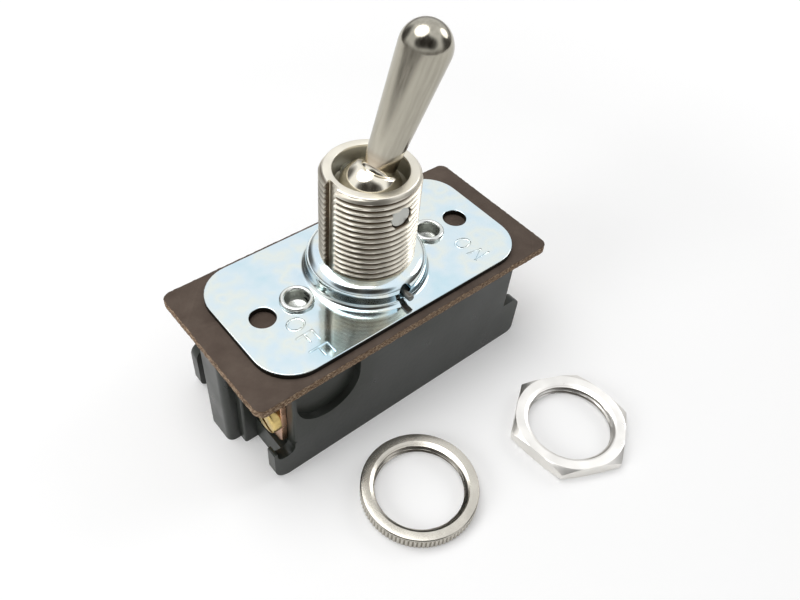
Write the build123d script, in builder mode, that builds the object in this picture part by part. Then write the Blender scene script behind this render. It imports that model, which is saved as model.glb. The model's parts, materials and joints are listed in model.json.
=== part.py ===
from build123d import *
import os
from math import acos, atan2, cos, hypot, radians, sin, sqrt, tan

os.makedirs("parts", exist_ok=True)

# Panel toggle switch, double pole, drawn with its lever at ON. Sizes are in millimetres.
# The origin is on the bushing's axis at the panel seat, where the thread leaves the plate's dome.
# +Z runs up the bushing, +X runs along the plate to the ON end, and -Y is the near side.

# Mounting plate of drawn steel
plate_length = 39.2
plate_width = 19.5
plate_thickness = 0.8
plate_corner_r = 5.0
plate_hole_r = 1.6
plate_hole_spacing = 30.66
dome_height = 3.0
dome_wall_r = 7.6
dome_slope = 0.45
dome_foot_r = 0.8
dome_shoulder_r = 1.0

# Fibre insulator under the plate
fibre_length = 45.8
fibre_width = 21.5
fibre_thickness = 1.2
fibre_corner_r = 1.2

# Threaded bushing, drawn plain at its major diameter
thread_r = 5.953
thread_height = 12.08
thread_chamfer = 0.55
thread_chamfer_height = 0.77
neck_r = 5.7
mouth_r = 4.42
mouth_depth = 2.5
seat_depth = 6.0
lower_bore_r = 4.7
flange_r = 6.6
keyway_width = 1.8
keyway_depth = 0.9

# Lever, its ball and its cross pin
lever_rest_angle = 22.0
pivot_drop = 3.28
ball_r = 3.9
bat_low = 3.5
bat_low_r = 1.95
bat_tip_r = 3.01
bat_flare = 0.6
lever_reach = 20.3
finger_length = 6.0
finger_r = 1.2
finger_neck_r = 0.6
finger_flare = 0.4
pin_r = 1.35
pin_recess = 0.45
pin_counterbore = 0.1

# Moulded base
base_length = 35.8
base_width = 19.6
base_height = 15.95
base_corner_r = 0.4
end_wall = 3.5
side_wall = 1.5
cavity_corner_r = 0.5
barrier_reach = 4.6
barrier_gap = 1.6
nose_depth = 1.6
nose_step = 1.2
nose_corner_r = 0.9
barrier_edge_r = 0.3
lug_reach = 3.0
lug_thickness = 1.5
lug_height = 7.2
lug_brow_r = 1.6
lug_toe_r = 1.0
hook_height = 5.65
hook_lip = 0.45
hook_toe_r = 2.2
hook_lip_r = 0.2
hook_notch = 1.7
hook_notch_r = 1.15
skirt_reach = 1.2
scoop_x = 12.85
scoop_r = 4.6
scoop_drop = 3.4
scoop_depth = 1.0

# Rivets through base, fibre and plate
rivet_spacing = 21.0
rivet_shank_r = 1.75
rivet_bore_r = 1.45
rivet_bore_depth = 1.3
rivet_roll_r = 2.15
rivet_roll_height = 0.5
rivet_head_r = 2.75
rivet_head_height = 1.0
rivet_sink = 0.3
rivet_head_gap = 0.25
rivet_head_edge_r = 0.4
rivet_bore_point = 0.3
rivet_roll_edge_r = 0.35
rivet_lip_edge_r = 0.2
rivet_post_wall = 0.9

# Terminals, their screws and the contacts
strip_width = 3.8
strip_side_gap = 0.1
strip_thickness = 0.8
strip_bend_r = 0.7
strip_tip_gap = 0.5
strip_taper = 0.6
crest_share = 0.98
screw_rise = 4.2
screw_head_r = 2.1
screw_head_height = 1.3
screw_shank_r = 1.4
screw_length = 3.0
screw_tip_gap = 0.2
screw_edge_r = 0.35
screw_slot_width = 0.7
screw_slot_depth = 0.6
contact_r = 1.4
contact_height = 0.7
contact_shank_r = 0.6
contact_dome_r = 5.0
contact_edge = 0.15

# Insulating rocker, its blades and its sprung plunger
hinge_height = 7.95
trunnion_r = 1.2
trunnion_length = 1.1
cradle_half_length = 3.2
cradle_above = 1.8
cradle_edge_r = 1.0
cradle_side_gap = 0.5
blade_drop = 1.0
blade_thickness = 0.6
blade_width = 3.0
blade_corner_r = 1.0
blade_overhang = 1.4
blade_end_gap = 0.4
blade_tail = 4.8
blade_rivet_r = 0.6
blade_rivet_spacing = 4.4
blade_rivet_head = 0.35
blade_rivet_head_r = 1.2
blade_rivet_recess = 0.5
stem_r = 2.0
stem_root_r = 3.0
stem_root_height = 3.0
cup_r = 1.3
cup_lip = 0.8
stem_edge = 0.2
plunger_length = 2.2
plunger_edge_r = 0.4
spring_length = 4.6
spring_wire_r = 0.15
spring_turns = 6
spring_end_gap = 0.05

# Index pin in the dome's wall
index_pin_r = 0.45
index_pin_edge_r = 0.15
index_pin_wall = 1.0
index_pin_proud = 1.2
index_pin_drop = 1.8
index_hole_r = 0.8
index_hole_drop = 1.5
index_slot_width = 0.7
index_slot_offset = 0.6
index_slot_reach = 1.85

# Panel nuts, taken off and lying beside the switch
nut_height = 1.9
nut_thread_r = 6.0
nut_countersink_r = 6.37
hex_across_flats = 14.6
hex_turn = 34.4
hex_chamfer_r = 7.4
hex_chamfer_angle = 30.0
hex_centre = (14.48, -26.98)
knurled_nut_r = 7.4
knurled_nut_edge = 0.25
knurled_nut_centre = (-7.86, -21.83)

# Clearances
running_clearance = 0.03
seat_clearance = 0.05
ball_clearance = 0.1
contact_gap = 0.02

# The largest share of a short wall that one of its corners may round off
corner_share = 0.48

# Heights down the stack
plate_top = -dome_height
plate_bottom = plate_top - plate_thickness
base_top = plate_bottom - fibre_thickness
base_bottom = base_top - base_height
pivot_z = thread_height - pivot_drop
hinge_z = base_bottom + hinge_height
lug_top = base_bottom + lug_height
hook_top = base_bottom + hook_height
pocket_floor = hook_top - hook_notch

# Stations along the base
block_end = base_length / 2
cavity_half_length = block_end - end_wall
cavity_half_width = base_width / 2 - side_wall
pole_offset = cavity_half_width - strip_side_gap - strip_width / 2
barrier_half_width = pole_offset - strip_width / 2 - barrier_gap
nose_width = 2 * barrier_half_width - nose_step
nose_round = min(nose_corner_r, corner_share * nose_width)
notch_round = min(hook_notch_r, corner_share * (lug_reach - hook_lip))
contact_arm = cavity_half_length - strip_thickness - blade_end_gap - blade_overhang
cradle_half_width = cavity_half_width - cradle_side_gap
index_pin_inner = lower_bore_r + index_pin_wall
trunnion_slot_depth = cradle_half_width + trunnion_length + seat_clearance - cavity_half_width

# The lever's finger meets the rocker's cup: the rocker's lean follows from both centres.
lever_lean = radians(lever_rest_angle)
finger_x = -finger_length * sin(lever_lean)
finger_z = pivot_z - finger_length * cos(lever_lean)
rocker_lean = atan2(-finger_x, finger_z - hinge_z)
cup_height = hypot(finger_x, finger_z - hinge_z)
cup_height_mid = pivot_z - finger_length - hinge_z

# Planes of the leaning pieces: the sections look along +Y, and the axis planes stand on the lean.
lever_section = Plane(
    origin=(0, 0, pivot_z), x_dir=(cos(lever_lean), 0, -sin(lever_lean)), z_dir=(0, -1, 0)
)
rocker_axis = Plane(
    origin=(0, 0, hinge_z),
    x_dir=(cos(rocker_lean), 0, sin(rocker_lean)),
    z_dir=(-sin(rocker_lean), 0, cos(rocker_lean)),
)
rocker_section = Plane(origin=rocker_axis.origin, x_dir=rocker_axis.x_dir, z_dir=(0, -1, 0))

# The blade's underside rolls on a circle about the hinge, and the contacts meet at its far end.
blade_underside = blade_drop + blade_thickness
dome_centre_z = hinge_z - contact_arm * sin(rocker_lean)
dome_centre_z += (contact_dome_r - blade_underside - contact_height) * cos(rocker_lean)
contact_x = -contact_arm * cos(rocker_lean)
contact_x -= (contact_dome_r - blade_underside - contact_height) * sin(rocker_lean)
fixed_contact_top = dome_centre_z - contact_dome_r - contact_gap
shelf_z = fixed_contact_top - contact_height - strip_thickness / 2
floor_z = shelf_z - strip_thickness / 2
fulcrum_tip_r = strip_thickness / 2
fulcrum_top = hinge_z - (blade_underside + fulcrum_tip_r) / cos(rocker_lean) + fulcrum_tip_r - contact_gap

# Shared stations of the terminals
strip_outer_x = block_end + strip_thickness / 2
strip_inner_x = cavity_half_length - strip_thickness / 2
strip_top_z = base_top - strip_thickness / 2
strip_tip_z = pocket_floor + strip_tip_gap
screw_z = strip_tip_z + screw_rise
shelf_end = contact_x + contact_r + strip_thickness / 2

ends = {"off": -1, "on": 1}
sides = {"front": -1, "back": 1}


def finish(builder, name):
    """Label a finished piece and write it out."""
    builder.part.label = name
    export_step(builder.part, f"parts/{name}.step")


def terminal_route(end, inner_points):
    """Middle line of a bent strip: up the pocket, over the end wall and down inside."""
    outer = [(end * strip_outer_x, strip_tip_z), (end * strip_outer_x, strip_top_z)]
    inside = [(end * strip_inner_x, strip_top_z), (end * strip_inner_x, shelf_z)]
    return FilletPolyline(*outer, *inside, *inner_points, radius=strip_bend_r)


# Mounting plate: flat sheet with a dome drawn up round the bushing
with BuildPart() as mounting_plate:
    with BuildSketch(Plane.XY.offset(plate_bottom)):
        RectangleRounded(plate_length, plate_width, plate_corner_r)
        Circle(dome_wall_r, mode=Mode.SUBTRACT)
    extrude(amount=plate_thickness)
    with BuildSketch(Plane.XZ) as dome_section:
        with BuildLine():
            Polyline(
                (neck_r + seat_clearance, 0),
                (dome_wall_r, -dome_slope),
                (dome_wall_r, plate_top),
                (dome_wall_r + 2 * dome_foot_r, plate_top),
                (dome_wall_r + 2 * dome_foot_r, plate_bottom),
                (flange_r + seat_clearance, plate_bottom),
                (flange_r + seat_clearance, -plate_thickness),
                (neck_r + seat_clearance, -plate_thickness),
                close=True,
            )
        make_face()
        shoulder = dome_section.vertices().sort_by_distance((dome_wall_r, -dome_slope))[0]
        fillet(shoulder, dome_shoulder_r)
        foot = dome_section.vertices().sort_by_distance((dome_wall_r, plate_top))[0]
        fillet(foot, dome_foot_r)
    revolve(axis=Axis.Z)
    # Tab of the dome that stands in the bushing's keyway
    with BuildSketch(Plane.XY.offset(-plate_thickness)):
        tab_tip = thread_r - keyway_depth + seat_clearance
        with Locations((-(tab_tip + thread_r) / 2, 0)):
            Rectangle(thread_r - tab_tip, keyway_width - 2 * seat_clearance)
    extrude(amount=plate_thickness)
    # Two plain holes on the long centre line, and the rivets' holes
    with BuildSketch(Plane.XY.offset(plate_bottom)):
        with GridLocations(plate_hole_spacing, 0, 2, 1):
            Circle(plate_hole_r)
        with GridLocations(rivet_spacing, 0, 2, 1):
            Circle(rivet_shank_r)
    extrude(amount=plate_thickness, mode=Mode.SUBTRACT)
    # Round hole that the index pin looks out of, and the slot below it
    with BuildSketch(Plane.XZ.offset(flange_r)):
        with Locations((0, -index_hole_drop)):
            Circle(index_hole_r)
    extrude(amount=dome_wall_r, mode=Mode.SUBTRACT)
    with BuildSketch(Plane.XY.offset(plate_bottom)):
        with Locations((-index_slot_offset, -dome_wall_r - index_slot_reach / 2)):
            Rectangle(index_slot_width, index_slot_reach)
    extrude(amount=plate_thickness + dome_foot_r, mode=Mode.SUBTRACT)
finish(mounting_plate, "mounting_plate")

# Fibre insulator: plain sheet with holes for the rocker's stem and the rivets
with BuildPart() as fibre_insulator:
    with BuildSketch(Plane.XY.offset(base_top)):
        RectangleRounded(fibre_length, fibre_width, fibre_corner_r)
        Circle(mouth_r, mode=Mode.SUBTRACT)
        with GridLocations(rivet_spacing, 0, 2, 1):
            Circle(rivet_shank_r, mode=Mode.SUBTRACT)
    extrude(amount=fibre_thickness)
finish(fibre_insulator, "fibre_insulator")

# Bushing: turned tube with a flange under the dome, a ball seat and a wide lower bore
with BuildPart() as bushing:
    with BuildSketch(Plane.XZ):
        with BuildLine():
            Polyline(
                (mouth_r, thread_height),
                (thread_r - thread_chamfer, thread_height),
                (thread_r, thread_height - thread_chamfer_height),
                (thread_r, 0),
                (neck_r, 0),
                (neck_r, -plate_thickness - seat_clearance),
                (flange_r, -plate_thickness - seat_clearance),
                (flange_r, plate_bottom),
                (lower_bore_r, plate_bottom),
                (lower_bore_r, thread_height - seat_depth),
                (ball_r + ball_clearance, thread_height - seat_depth),
                (ball_r + ball_clearance, thread_height - mouth_depth - (mouth_r - ball_r)),
                (mouth_r, thread_height - mouth_depth),
                close=True,
            )
        make_face()
    revolve(axis=Axis.Z)
    # Keyway down the OFF side, from the mouth to the dome
    with BuildSketch(Plane.XY.offset(-plate_thickness - seat_clearance)):
        with Locations((-thread_r, 0)):
            Rectangle(2 * keyway_depth, keyway_width)
    extrude(amount=thread_height + 2 * plate_thickness, mode=Mode.SUBTRACT)
    # Cross hole for the pivot pin, eased at both mouths
    with BuildSketch(Plane.XZ.offset(-thread_r)):
        with Locations((0, pivot_z)):
            Circle(pin_r)
    extrude(amount=2 * thread_r, mode=Mode.SUBTRACT)
    for side in sides.values():
        with BuildSketch(Plane.XZ.offset(side * (thread_r - 2 * pin_recess))):
            with Locations((0, pivot_z)):
                Circle(pin_r + pin_counterbore)
        extrude(amount=side * thread_r, mode=Mode.SUBTRACT)
    # Blind hole for the index pin
    with BuildSketch(Plane.XZ.offset(index_pin_inner)):
        with Locations((0, -index_pin_drop)):
            Circle(index_pin_r)
    extrude(amount=flange_r, mode=Mode.SUBTRACT)
finish(bushing, "bushing")

with BuildPart() as pivot_pin:
    pin_half_length = thread_r - pin_recess
    with BuildSketch(Plane.XZ.offset(-pin_half_length)):
        with Locations((0, pivot_z)):
            Circle(pin_r)
    extrude(amount=2 * pin_half_length)
    chamfer(pivot_pin.edges().filter_by(GeomType.CIRCLE), pin_counterbore)
finish(pivot_pin, "pivot_pin")

with BuildPart() as index_pin:
    with BuildSketch(Plane.XZ.offset(index_pin_inner)):
        with Locations((0, -index_pin_drop)):
            Circle(index_pin_r)
    extrude(amount=dome_wall_r + index_pin_proud - index_pin_inner)
    fillet(index_pin.faces().sort_by(Axis.Y)[0].edges(), index_pin_edge_r)
finish(index_pin, "index_pin")

# Lever: bat handle, pivot ball and driving finger turned from one bar
with BuildPart() as lever:
    with BuildSketch(lever_section):
        tip_centre = lever_reach - bat_tip_r
        reach = hypot(bat_low_r, tip_centre - bat_low)
        meet = atan2(bat_low - tip_centre, bat_low_r) + acos(bat_tip_r / reach)
        tip_meet = (bat_tip_r * cos(meet), tip_centre + bat_tip_r * sin(meet))
        neck_top_r = bat_low_r + bat_flare
        neck_top = (neck_top_r, sqrt(ball_r**2 - neck_top_r**2))
        finger_root_r = finger_neck_r + finger_flare
        finger_root = (finger_root_r, -sqrt(ball_r**2 - finger_root_r**2))
        finger_neck = (finger_neck_r, -finger_length + sqrt(finger_r**2 - finger_neck_r**2))
        with BuildLine():
            ThreePointArc((0, -finger_length - finger_r), (finger_r, -finger_length), finger_neck)
            Line(finger_neck, finger_root)
            ThreePointArc(finger_root, (ball_r, 0), neck_top)
            Polyline(neck_top, (bat_low_r, bat_low), tip_meet)
            half_turn = (meet + acos(0)) / 2
            tip_mid = (bat_tip_r * cos(half_turn), tip_centre + bat_tip_r * sin(half_turn))
            ThreePointArc(tip_meet, tip_mid, (0, lever_reach))
            Line((0, lever_reach), (0, -finger_length - finger_r))
        make_face()
    revolve(axis=Axis((0, 0, pivot_z), (sin(lever_lean), 0, cos(lever_lean))))
    with BuildSketch(Plane.XZ.offset(-ball_r)):
        with Locations((0, pivot_z)):
            Circle(pin_r + running_clearance)
    extrude(amount=2 * ball_r, mode=Mode.SUBTRACT)
finish(lever, "lever")

# Base: open-topped moulded box with a terminal pocket at each corner
with BuildPart() as base:
    with BuildSketch(Plane.XY.offset(base_bottom)):
        RectangleRounded(base_length, base_width, base_corner_r)
    extrude(amount=base_height)
    # Skirt that closes the terminal pockets below
    with BuildSketch(Plane.XY.offset(base_bottom)):
        Rectangle(base_length + 2 * skirt_reach, base_width)
    extrude(amount=pocket_floor - base_bottom)
    # Lugs that carry the side walls on past the pockets, two of them hooked to hold a wire
    for side in sides.values():
        with BuildSketch(Plane.XZ.offset(-side * base_width / 2)) as lugs:
            for end in ends.values():
                root = end * cavity_half_length
                wall_end = end * block_end
                lug_end = end * (block_end + lug_reach)
                lip = end * (block_end + lug_reach - hook_lip)
                if end == side:
                    rounded = {
                        (lug_end, base_bottom): hook_toe_r,
                        (lug_end, hook_top): hook_lip_r,
                        (lip, pocket_floor): notch_round,
                        (wall_end, pocket_floor): notch_round,
                    }
                    outline = [
                        (root, base_bottom), (lug_end, base_bottom), (lug_end, hook_top), (lip, hook_top),
                        (lip, pocket_floor), (wall_end, pocket_floor), (wall_end, hook_top), (root, hook_top),
                    ]
                else:
                    rounded = {(lug_end, base_bottom): lug_toe_r, (lug_end, lug_top): lug_brow_r}
                    outline = [(root, base_bottom), (lug_end, base_bottom), (lug_end, lug_top), (root, lug_top)]
                with BuildLine():
                    Polyline(*outline, close=True)
                make_face()
                for corner, radius in rounded.items():
                    fillet(lugs.vertices().sort_by_distance(corner)[0], radius)
        extrude(amount=side * lug_thickness)
    # End barriers between the two poles' pockets, stepped at one side of the nose
    with BuildSketch(Plane.XY.offset(base_bottom)) as barriers:
        for end in ends.values():
            start = end * cavity_half_length
            shoulder_x = end * (block_end + barrier_reach - nose_depth)
            nose_x = end * (block_end + barrier_reach)
            step_y = end * (barrier_half_width - nose_step)
            with BuildLine():
                Polyline(
                    (start, end * barrier_half_width),
                    (shoulder_x, end * barrier_half_width),
                    (shoulder_x, step_y),
                    (nose_x, step_y),
                    (nose_x, -end * barrier_half_width),
                    (start, -end * barrier_half_width),
                    close=True,
                )
            make_face()
            fillet(barriers.vertices().sort_by_distance((nose_x, step_y))[0], nose_round)
            for edge_spot in (
                (shoulder_x, end * barrier_half_width), (nose_x, -end * barrier_half_width)
            ):
                fillet(barriers.vertices().sort_by_distance(edge_spot)[0], barrier_edge_r)
    extrude(amount=base_height)
    # Contact chamber, with a solid post round each rivet
    with BuildSketch(Plane.XY.offset(floor_z)):
        RectangleRounded(2 * cavity_half_length, 2 * cavity_half_width, cavity_corner_r)
        with GridLocations(rivet_spacing, 0, 2, 1):
            Circle(rivet_shank_r + rivet_post_wall, mode=Mode.SUBTRACT)
    extrude(amount=base_top - floor_z, mode=Mode.SUBTRACT)
    with BuildSketch(Plane.XY.offset(base_bottom)):
        with GridLocations(rivet_spacing, 0, 2, 1):
            Circle(rivet_shank_r)
    extrude(amount=base_height, mode=Mode.SUBTRACT)
    with BuildSketch(Plane.XY.offset(base_bottom)):
        with GridLocations(rivet_spacing, 0, 2, 1):
            Circle(rivet_head_r + rivet_head_gap)
    extrude(amount=rivet_head_height + rivet_sink, mode=Mode.SUBTRACT)
    # Half-round hollow in the near side, open to the top
    with BuildSketch(Plane.XZ.offset(base_width / 2 - scoop_depth)):
        with Locations((-scoop_x, base_top - scoop_drop)):
            Circle(scoop_r)
        with Locations((-scoop_x, base_top - scoop_drop / 2)):
            Rectangle(2 * scoop_r, scoop_drop)
    extrude(amount=scoop_depth, mode=Mode.SUBTRACT)
    # Slots that the rocker's trunnions drop into
    for side in sides.values():
        with BuildSketch(Plane.XZ.offset(side * cavity_half_width)):
            with Locations((0, hinge_z)):
                Circle(trunnion_r + seat_clearance)
            with Locations((0, (hinge_z + base_top) / 2)):
                Rectangle(2 * (trunnion_r + seat_clearance), base_top - hinge_z)
        extrude(amount=side * trunnion_slot_depth, mode=Mode.SUBTRACT)
    # Grooves for the strips over the end walls, and the screws' holes
    for end in ends.values():
        for side in sides.values():
            groove_width = strip_width + 2 * seat_clearance
            with BuildSketch(Plane.XZ.offset(-side * pole_offset - groove_width / 2)):
                with BuildLine() as groove:
                    terminal_route(end, [])
                trace(groove.line, strip_thickness + 2 * seat_clearance)
            extrude(amount=groove_width, mode=Mode.SUBTRACT)
            with BuildSketch(Plane.YZ.offset(end * block_end)):
                with Locations((side * pole_offset, screw_z)):
                    Circle(screw_shank_r)
            hole_depth = screw_length - strip_thickness + screw_tip_gap
            extrude(amount=-end * hole_depth, mode=Mode.SUBTRACT)
finish(base, "base")

# Rivets: hollow end rolled over on the plate, solid head in the base's underside
for end_name, end in ends.items():
    rivet_x = end * rivet_spacing / 2
    head_bottom = base_bottom + rivet_sink
    roll_top = plate_top + rivet_roll_height
    with BuildPart() as rivet:
        with BuildSketch(Plane.XZ) as rivet_section:
            with BuildLine():
                Polyline(
                    (rivet_x, head_bottom),
                    (rivet_x + rivet_head_r, head_bottom),
                    (rivet_x + rivet_head_r, head_bottom + rivet_head_height),
                    (rivet_x + rivet_shank_r, head_bottom + rivet_head_height),
                    (rivet_x + rivet_shank_r, plate_top),
                    (rivet_x + rivet_roll_r, plate_top),
                    (rivet_x + rivet_roll_r, roll_top),
                    (rivet_x + rivet_bore_r, roll_top),
                    (rivet_x + rivet_bore_r, plate_top - rivet_bore_depth),
                    (rivet_x, plate_top - rivet_bore_depth - rivet_bore_point),
                    close=True,
                )
            make_face()
            roll_edge = (rivet_x + rivet_roll_r, roll_top)
            fillet(rivet_section.vertices().sort_by_distance(roll_edge)[0], rivet_roll_edge_r)
            roll_lip = (rivet_x + rivet_bore_r, roll_top)
            fillet(rivet_section.vertices().sort_by_distance(roll_lip)[0], rivet_lip_edge_r)
            head_edge = (rivet_x + rivet_head_r, head_bottom)
            fillet(rivet_section.vertices().sort_by_distance(head_edge)[0], rivet_head_edge_r)
        revolve(axis=Axis((rivet_x, 0, 0), (0, 0, 1)))
    finish(rivet, f"rivet_{end_name}_end")

# Terminal strips: the OFF end's carry the fixed contacts, the ON end's the blades' fulcrums
inner_routes = {
    "off": [(shelf_end, shelf_z)],
    "on": [(0, shelf_z), (0, fulcrum_top)],
}
for end_name, end in ends.items():
    for side_name, side in sides.items():
        with BuildPart() as terminal:
            with BuildSketch(Plane.XZ.offset(-side * pole_offset - strip_width / 2)):
                with BuildLine() as route:
                    terminal_route(end, inner_routes[end_name])
                trace(route.line, strip_thickness)
            extrude(amount=strip_width)
            pointed = terminal.edges().filter_by(Axis.X).group_by(Axis.X)[0 if end < 0 else -1]
            chamfer(pointed, strip_taper)
            if end_name == "on":
                shelf_top = shelf_z + strip_thickness
                crest = terminal.edges().filter_by(Axis.Y).filter_by(
                    lambda e: abs(e.center().X) < strip_thickness and e.center().Z > shelf_top
                )
                fillet(crest, crest_share * fulcrum_tip_r)
            with BuildSketch(Plane.YZ.offset(end * block_end)):
                with Locations((side * pole_offset, screw_z)):
                    Circle(screw_shank_r)
            extrude(amount=end * strip_thickness, mode=Mode.SUBTRACT)
            if end_name == "off":
                with BuildSketch(Plane.XY.offset(floor_z)):
                    with Locations((contact_x, side * pole_offset)):
                        Circle(contact_shank_r)
                extrude(amount=strip_thickness, mode=Mode.SUBTRACT)
        finish(terminal, f"{end_name}_{side_name}_terminal")

# Terminal screws: slotted binding heads
for end_name, end in ends.items():
    for side_name, side in sides.items():
        head_seat = end * (block_end + strip_thickness)
        head_face = head_seat + end * screw_head_height
        with BuildPart() as screw:
            with BuildSketch(Plane.YZ.offset(head_seat)):
                with Locations((side * pole_offset, screw_z)):
                    Circle(screw_head_r)
            extrude(amount=end * screw_head_height)
            fillet(screw.edges().group_by(Axis.X)[0 if end < 0 else -1], screw_edge_r)
            with BuildSketch(Plane.YZ.offset(head_seat)):
                with Locations((side * pole_offset, screw_z)):
                    Circle(screw_shank_r)
            extrude(amount=-end * screw_length)
            with BuildSketch(Plane.YZ.offset(head_face)):
                with Locations((side * pole_offset, screw_z)):
                    Rectangle(screw_slot_width, 2 * screw_head_r)
            extrude(amount=-end * screw_slot_depth, mode=Mode.SUBTRACT)
        finish(screw, f"{end_name}_{side_name}_screw")

# Fixed contacts: silver buttons riveted to the OFF terminals' shelves
for side_name, side in sides.items():
    with BuildPart() as fixed_contact:
        with BuildSketch(Plane.XY.offset(fixed_contact_top)):
            with Locations((contact_x, side * pole_offset)):
                Circle(contact_r)
        extrude(amount=-contact_height)
        chamfer(fixed_contact.edges().group_by(Axis.Z)[-1], contact_edge)
        with BuildSketch(Plane.XY.offset(floor_z)):
            with Locations((contact_x, side * pole_offset)):
                Circle(contact_shank_r)
        extrude(amount=strip_thickness)
    finish(fixed_contact, f"{side_name}_fixed_contact")

# Rocker: moulded cradle on two trunnions, with a tall stem that ends in the finger's cup
with BuildPart() as rocker:
    with BuildSketch(rocker_section.offset(-cradle_half_width)) as cradle_section:
        with Locations((0, (cradle_above - blade_drop) / 2)):
            Rectangle(2 * cradle_half_length, cradle_above + blade_drop)
        fillet(cradle_section.vertices().group_by(Axis.Y)[-1], cradle_edge_r)
    extrude(amount=2 * cradle_half_width)
    for side in sides.values():
        with BuildSketch(rocker_section.offset(side * cradle_half_width)):
            Circle(trunnion_r)
        extrude(amount=side * trunnion_length)
    stem_top = cup_height + cup_lip
    with BuildSketch(rocker_section):
        with BuildLine():
            Polyline(
                (0, 0),
                (stem_root_r, 0),
                (stem_root_r, cradle_above),
                (stem_r, cradle_above + stem_root_height),
                (stem_r, stem_top - stem_edge),
                (stem_r - stem_edge, stem_top),
                (0, stem_top),
                close=True,
            )
        make_face()
    revolve(axis=Axis(rocker_axis.origin, rocker_axis.z_dir))
    plunger_top = cup_height_mid - finger_r - seat_clearance
    bore_floor = plunger_top - plunger_length - spring_length
    with BuildSketch(rocker_axis.offset(bore_floor)):
        Circle(cup_r)
    extrude(amount=stem_top - bore_floor, mode=Mode.SUBTRACT)
    # Holes for the rivets that hold the blades
    with BuildSketch(rocker_axis.offset(-blade_drop)):
        with GridLocations(blade_rivet_spacing, 2 * pole_offset, 2, 2):
            Circle(blade_rivet_r)
    extrude(amount=cradle_above + blade_drop, mode=Mode.SUBTRACT)
finish(rocker, "rocker")

# Plunger: sprung cap below the finger
with BuildPart() as plunger:
    with BuildSketch(rocker_axis.offset(plunger_top - plunger_length)):
        Circle(cup_r - seat_clearance)
    extrude(amount=plunger_length)
    plunger_rim = plunger.edges().filter_by(GeomType.CIRCLE).sort_by(Axis.Z)[-1]
    fillet(plunger_rim, plunger_edge_r)
finish(plunger, "plunger")

# Plunger spring: one fine wire, drawn six-sided, wound in the stem's bore
with BuildPart() as plunger_spring:
    coil_r = cup_r - seat_clearance - spring_wire_r
    coil_height = spring_length - 2 * spring_wire_r - 2 * spring_end_gap
    coil_plane = rocker_axis.offset(bore_floor + spring_wire_r + spring_end_gap)
    coil = Helix(
        pitch=coil_height / spring_turns,
        height=coil_height,
        radius=coil_r,
        center=coil_plane.origin,
        direction=coil_plane.z_dir,
        mode=Mode.PRIVATE,
    )
    with BuildSketch(Plane(origin=coil @ 0, z_dir=coil % 0)):
        RegularPolygon(spring_wire_r, 6)
    sweep(path=coil)
finish(plunger_spring, "plunger_spring")

# Rocking blades, the silver buttons they carry and the rivets that hold them
for side_name, side in sides.items():
    with BuildPart() as blade:
        with BuildSketch(rocker_axis.offset(-blade_underside)) as blade_plan:
            with Locations(((blade_tail - contact_arm - blade_overhang) / 2, side * pole_offset)):
                RectangleRounded(contact_arm + blade_overhang + blade_tail, blade_width, blade_corner_r)
            with Locations((-contact_arm, side * pole_offset)):
                Circle(contact_shank_r, mode=Mode.SUBTRACT)
            with Locations((0, side * pole_offset)):
                with GridLocations(blade_rivet_spacing, 0, 2, 1):
                    Circle(blade_rivet_r, mode=Mode.SUBTRACT)
        extrude(amount=blade_thickness)
    finish(blade, f"{side_name}_blade")

    with BuildPart() as moving_contact:
        contact_bottom = -blade_underside - contact_height
        dome_drop = contact_dome_r - sqrt(contact_dome_r**2 - contact_r**2)
        with BuildSketch(rocker_section.offset(-side * pole_offset)):
            with BuildLine():
                Polyline(
                    (-contact_arm, contact_bottom),
                    (-contact_arm, -blade_drop),
                    (-contact_arm + contact_shank_r, -blade_drop),
                    (-contact_arm + contact_shank_r, -blade_underside),
                    (-contact_arm + contact_r, -blade_underside),
                    (-contact_arm + contact_r, contact_bottom + dome_drop),
                )
                RadiusArc(
                    (-contact_arm + contact_r, contact_bottom + dome_drop),
                    (-contact_arm, contact_bottom),
                    contact_dome_r,
                )
            make_face()
        contact_foot = rocker_axis.from_local_coords((-contact_arm, side * pole_offset, 0))
        revolve(axis=Axis(contact_foot, rocker_axis.z_dir))
    finish(moving_contact, f"{side_name}_moving_contact")

with BuildPart() as blade_rivets:
    for side in sides.values():
        for end in ends.values():
            rivet_foot = (end * blade_rivet_spacing / 2, side * pole_offset)
            with BuildSketch(rocker_axis.offset(-blade_underside)):
                with Locations(rivet_foot):
                    Circle(blade_rivet_r)
            extrude(amount=blade_underside + cradle_above - blade_rivet_recess)
            with BuildSketch(rocker_axis.offset(-blade_underside)):
                with Locations(rivet_foot):
                    Circle(blade_rivet_head_r)
            extrude(amount=-blade_rivet_head)
finish(blade_rivets, "blade_rivets")

# Panel nuts: a chamfered hexagon and a round nut for knurling, both countersunk at the thread
with BuildPart() as hex_nut:
    hex_corner_r = hex_across_flats / sqrt(3)
    with BuildSketch(Plane.XY.offset(base_bottom)):
        with Locations(hex_centre):
            RegularPolygon(hex_corner_r, 6, rotation=hex_turn)
    extrude(amount=nut_height)
    with BuildSketch(Plane.XZ.offset(-hex_centre[1])):
        with BuildLine():
            drop = (hex_corner_r - hex_chamfer_r) * tan(radians(hex_chamfer_angle))
            Polyline(
                (hex_centre[0] + nut_thread_r, base_bottom + nut_countersink_r - nut_thread_r),
                (hex_centre[0] + nut_countersink_r, base_bottom),
                (hex_centre[0] + hex_chamfer_r, base_bottom),
                (hex_centre[0] + hex_corner_r, base_bottom + drop),
                (hex_centre[0] + hex_corner_r, base_bottom + nut_height - drop),
                (hex_centre[0] + hex_chamfer_r, base_bottom + nut_height),
                (hex_centre[0] + nut_countersink_r, base_bottom + nut_height),
                (
                    hex_centre[0] + nut_thread_r,
                    base_bottom + nut_height - nut_countersink_r + nut_thread_r,
                ),
                close=True,
            )
        make_face()
    revolve(axis=Axis((*hex_centre, 0), (0, 0, 1)), mode=Mode.INTERSECT)
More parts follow.
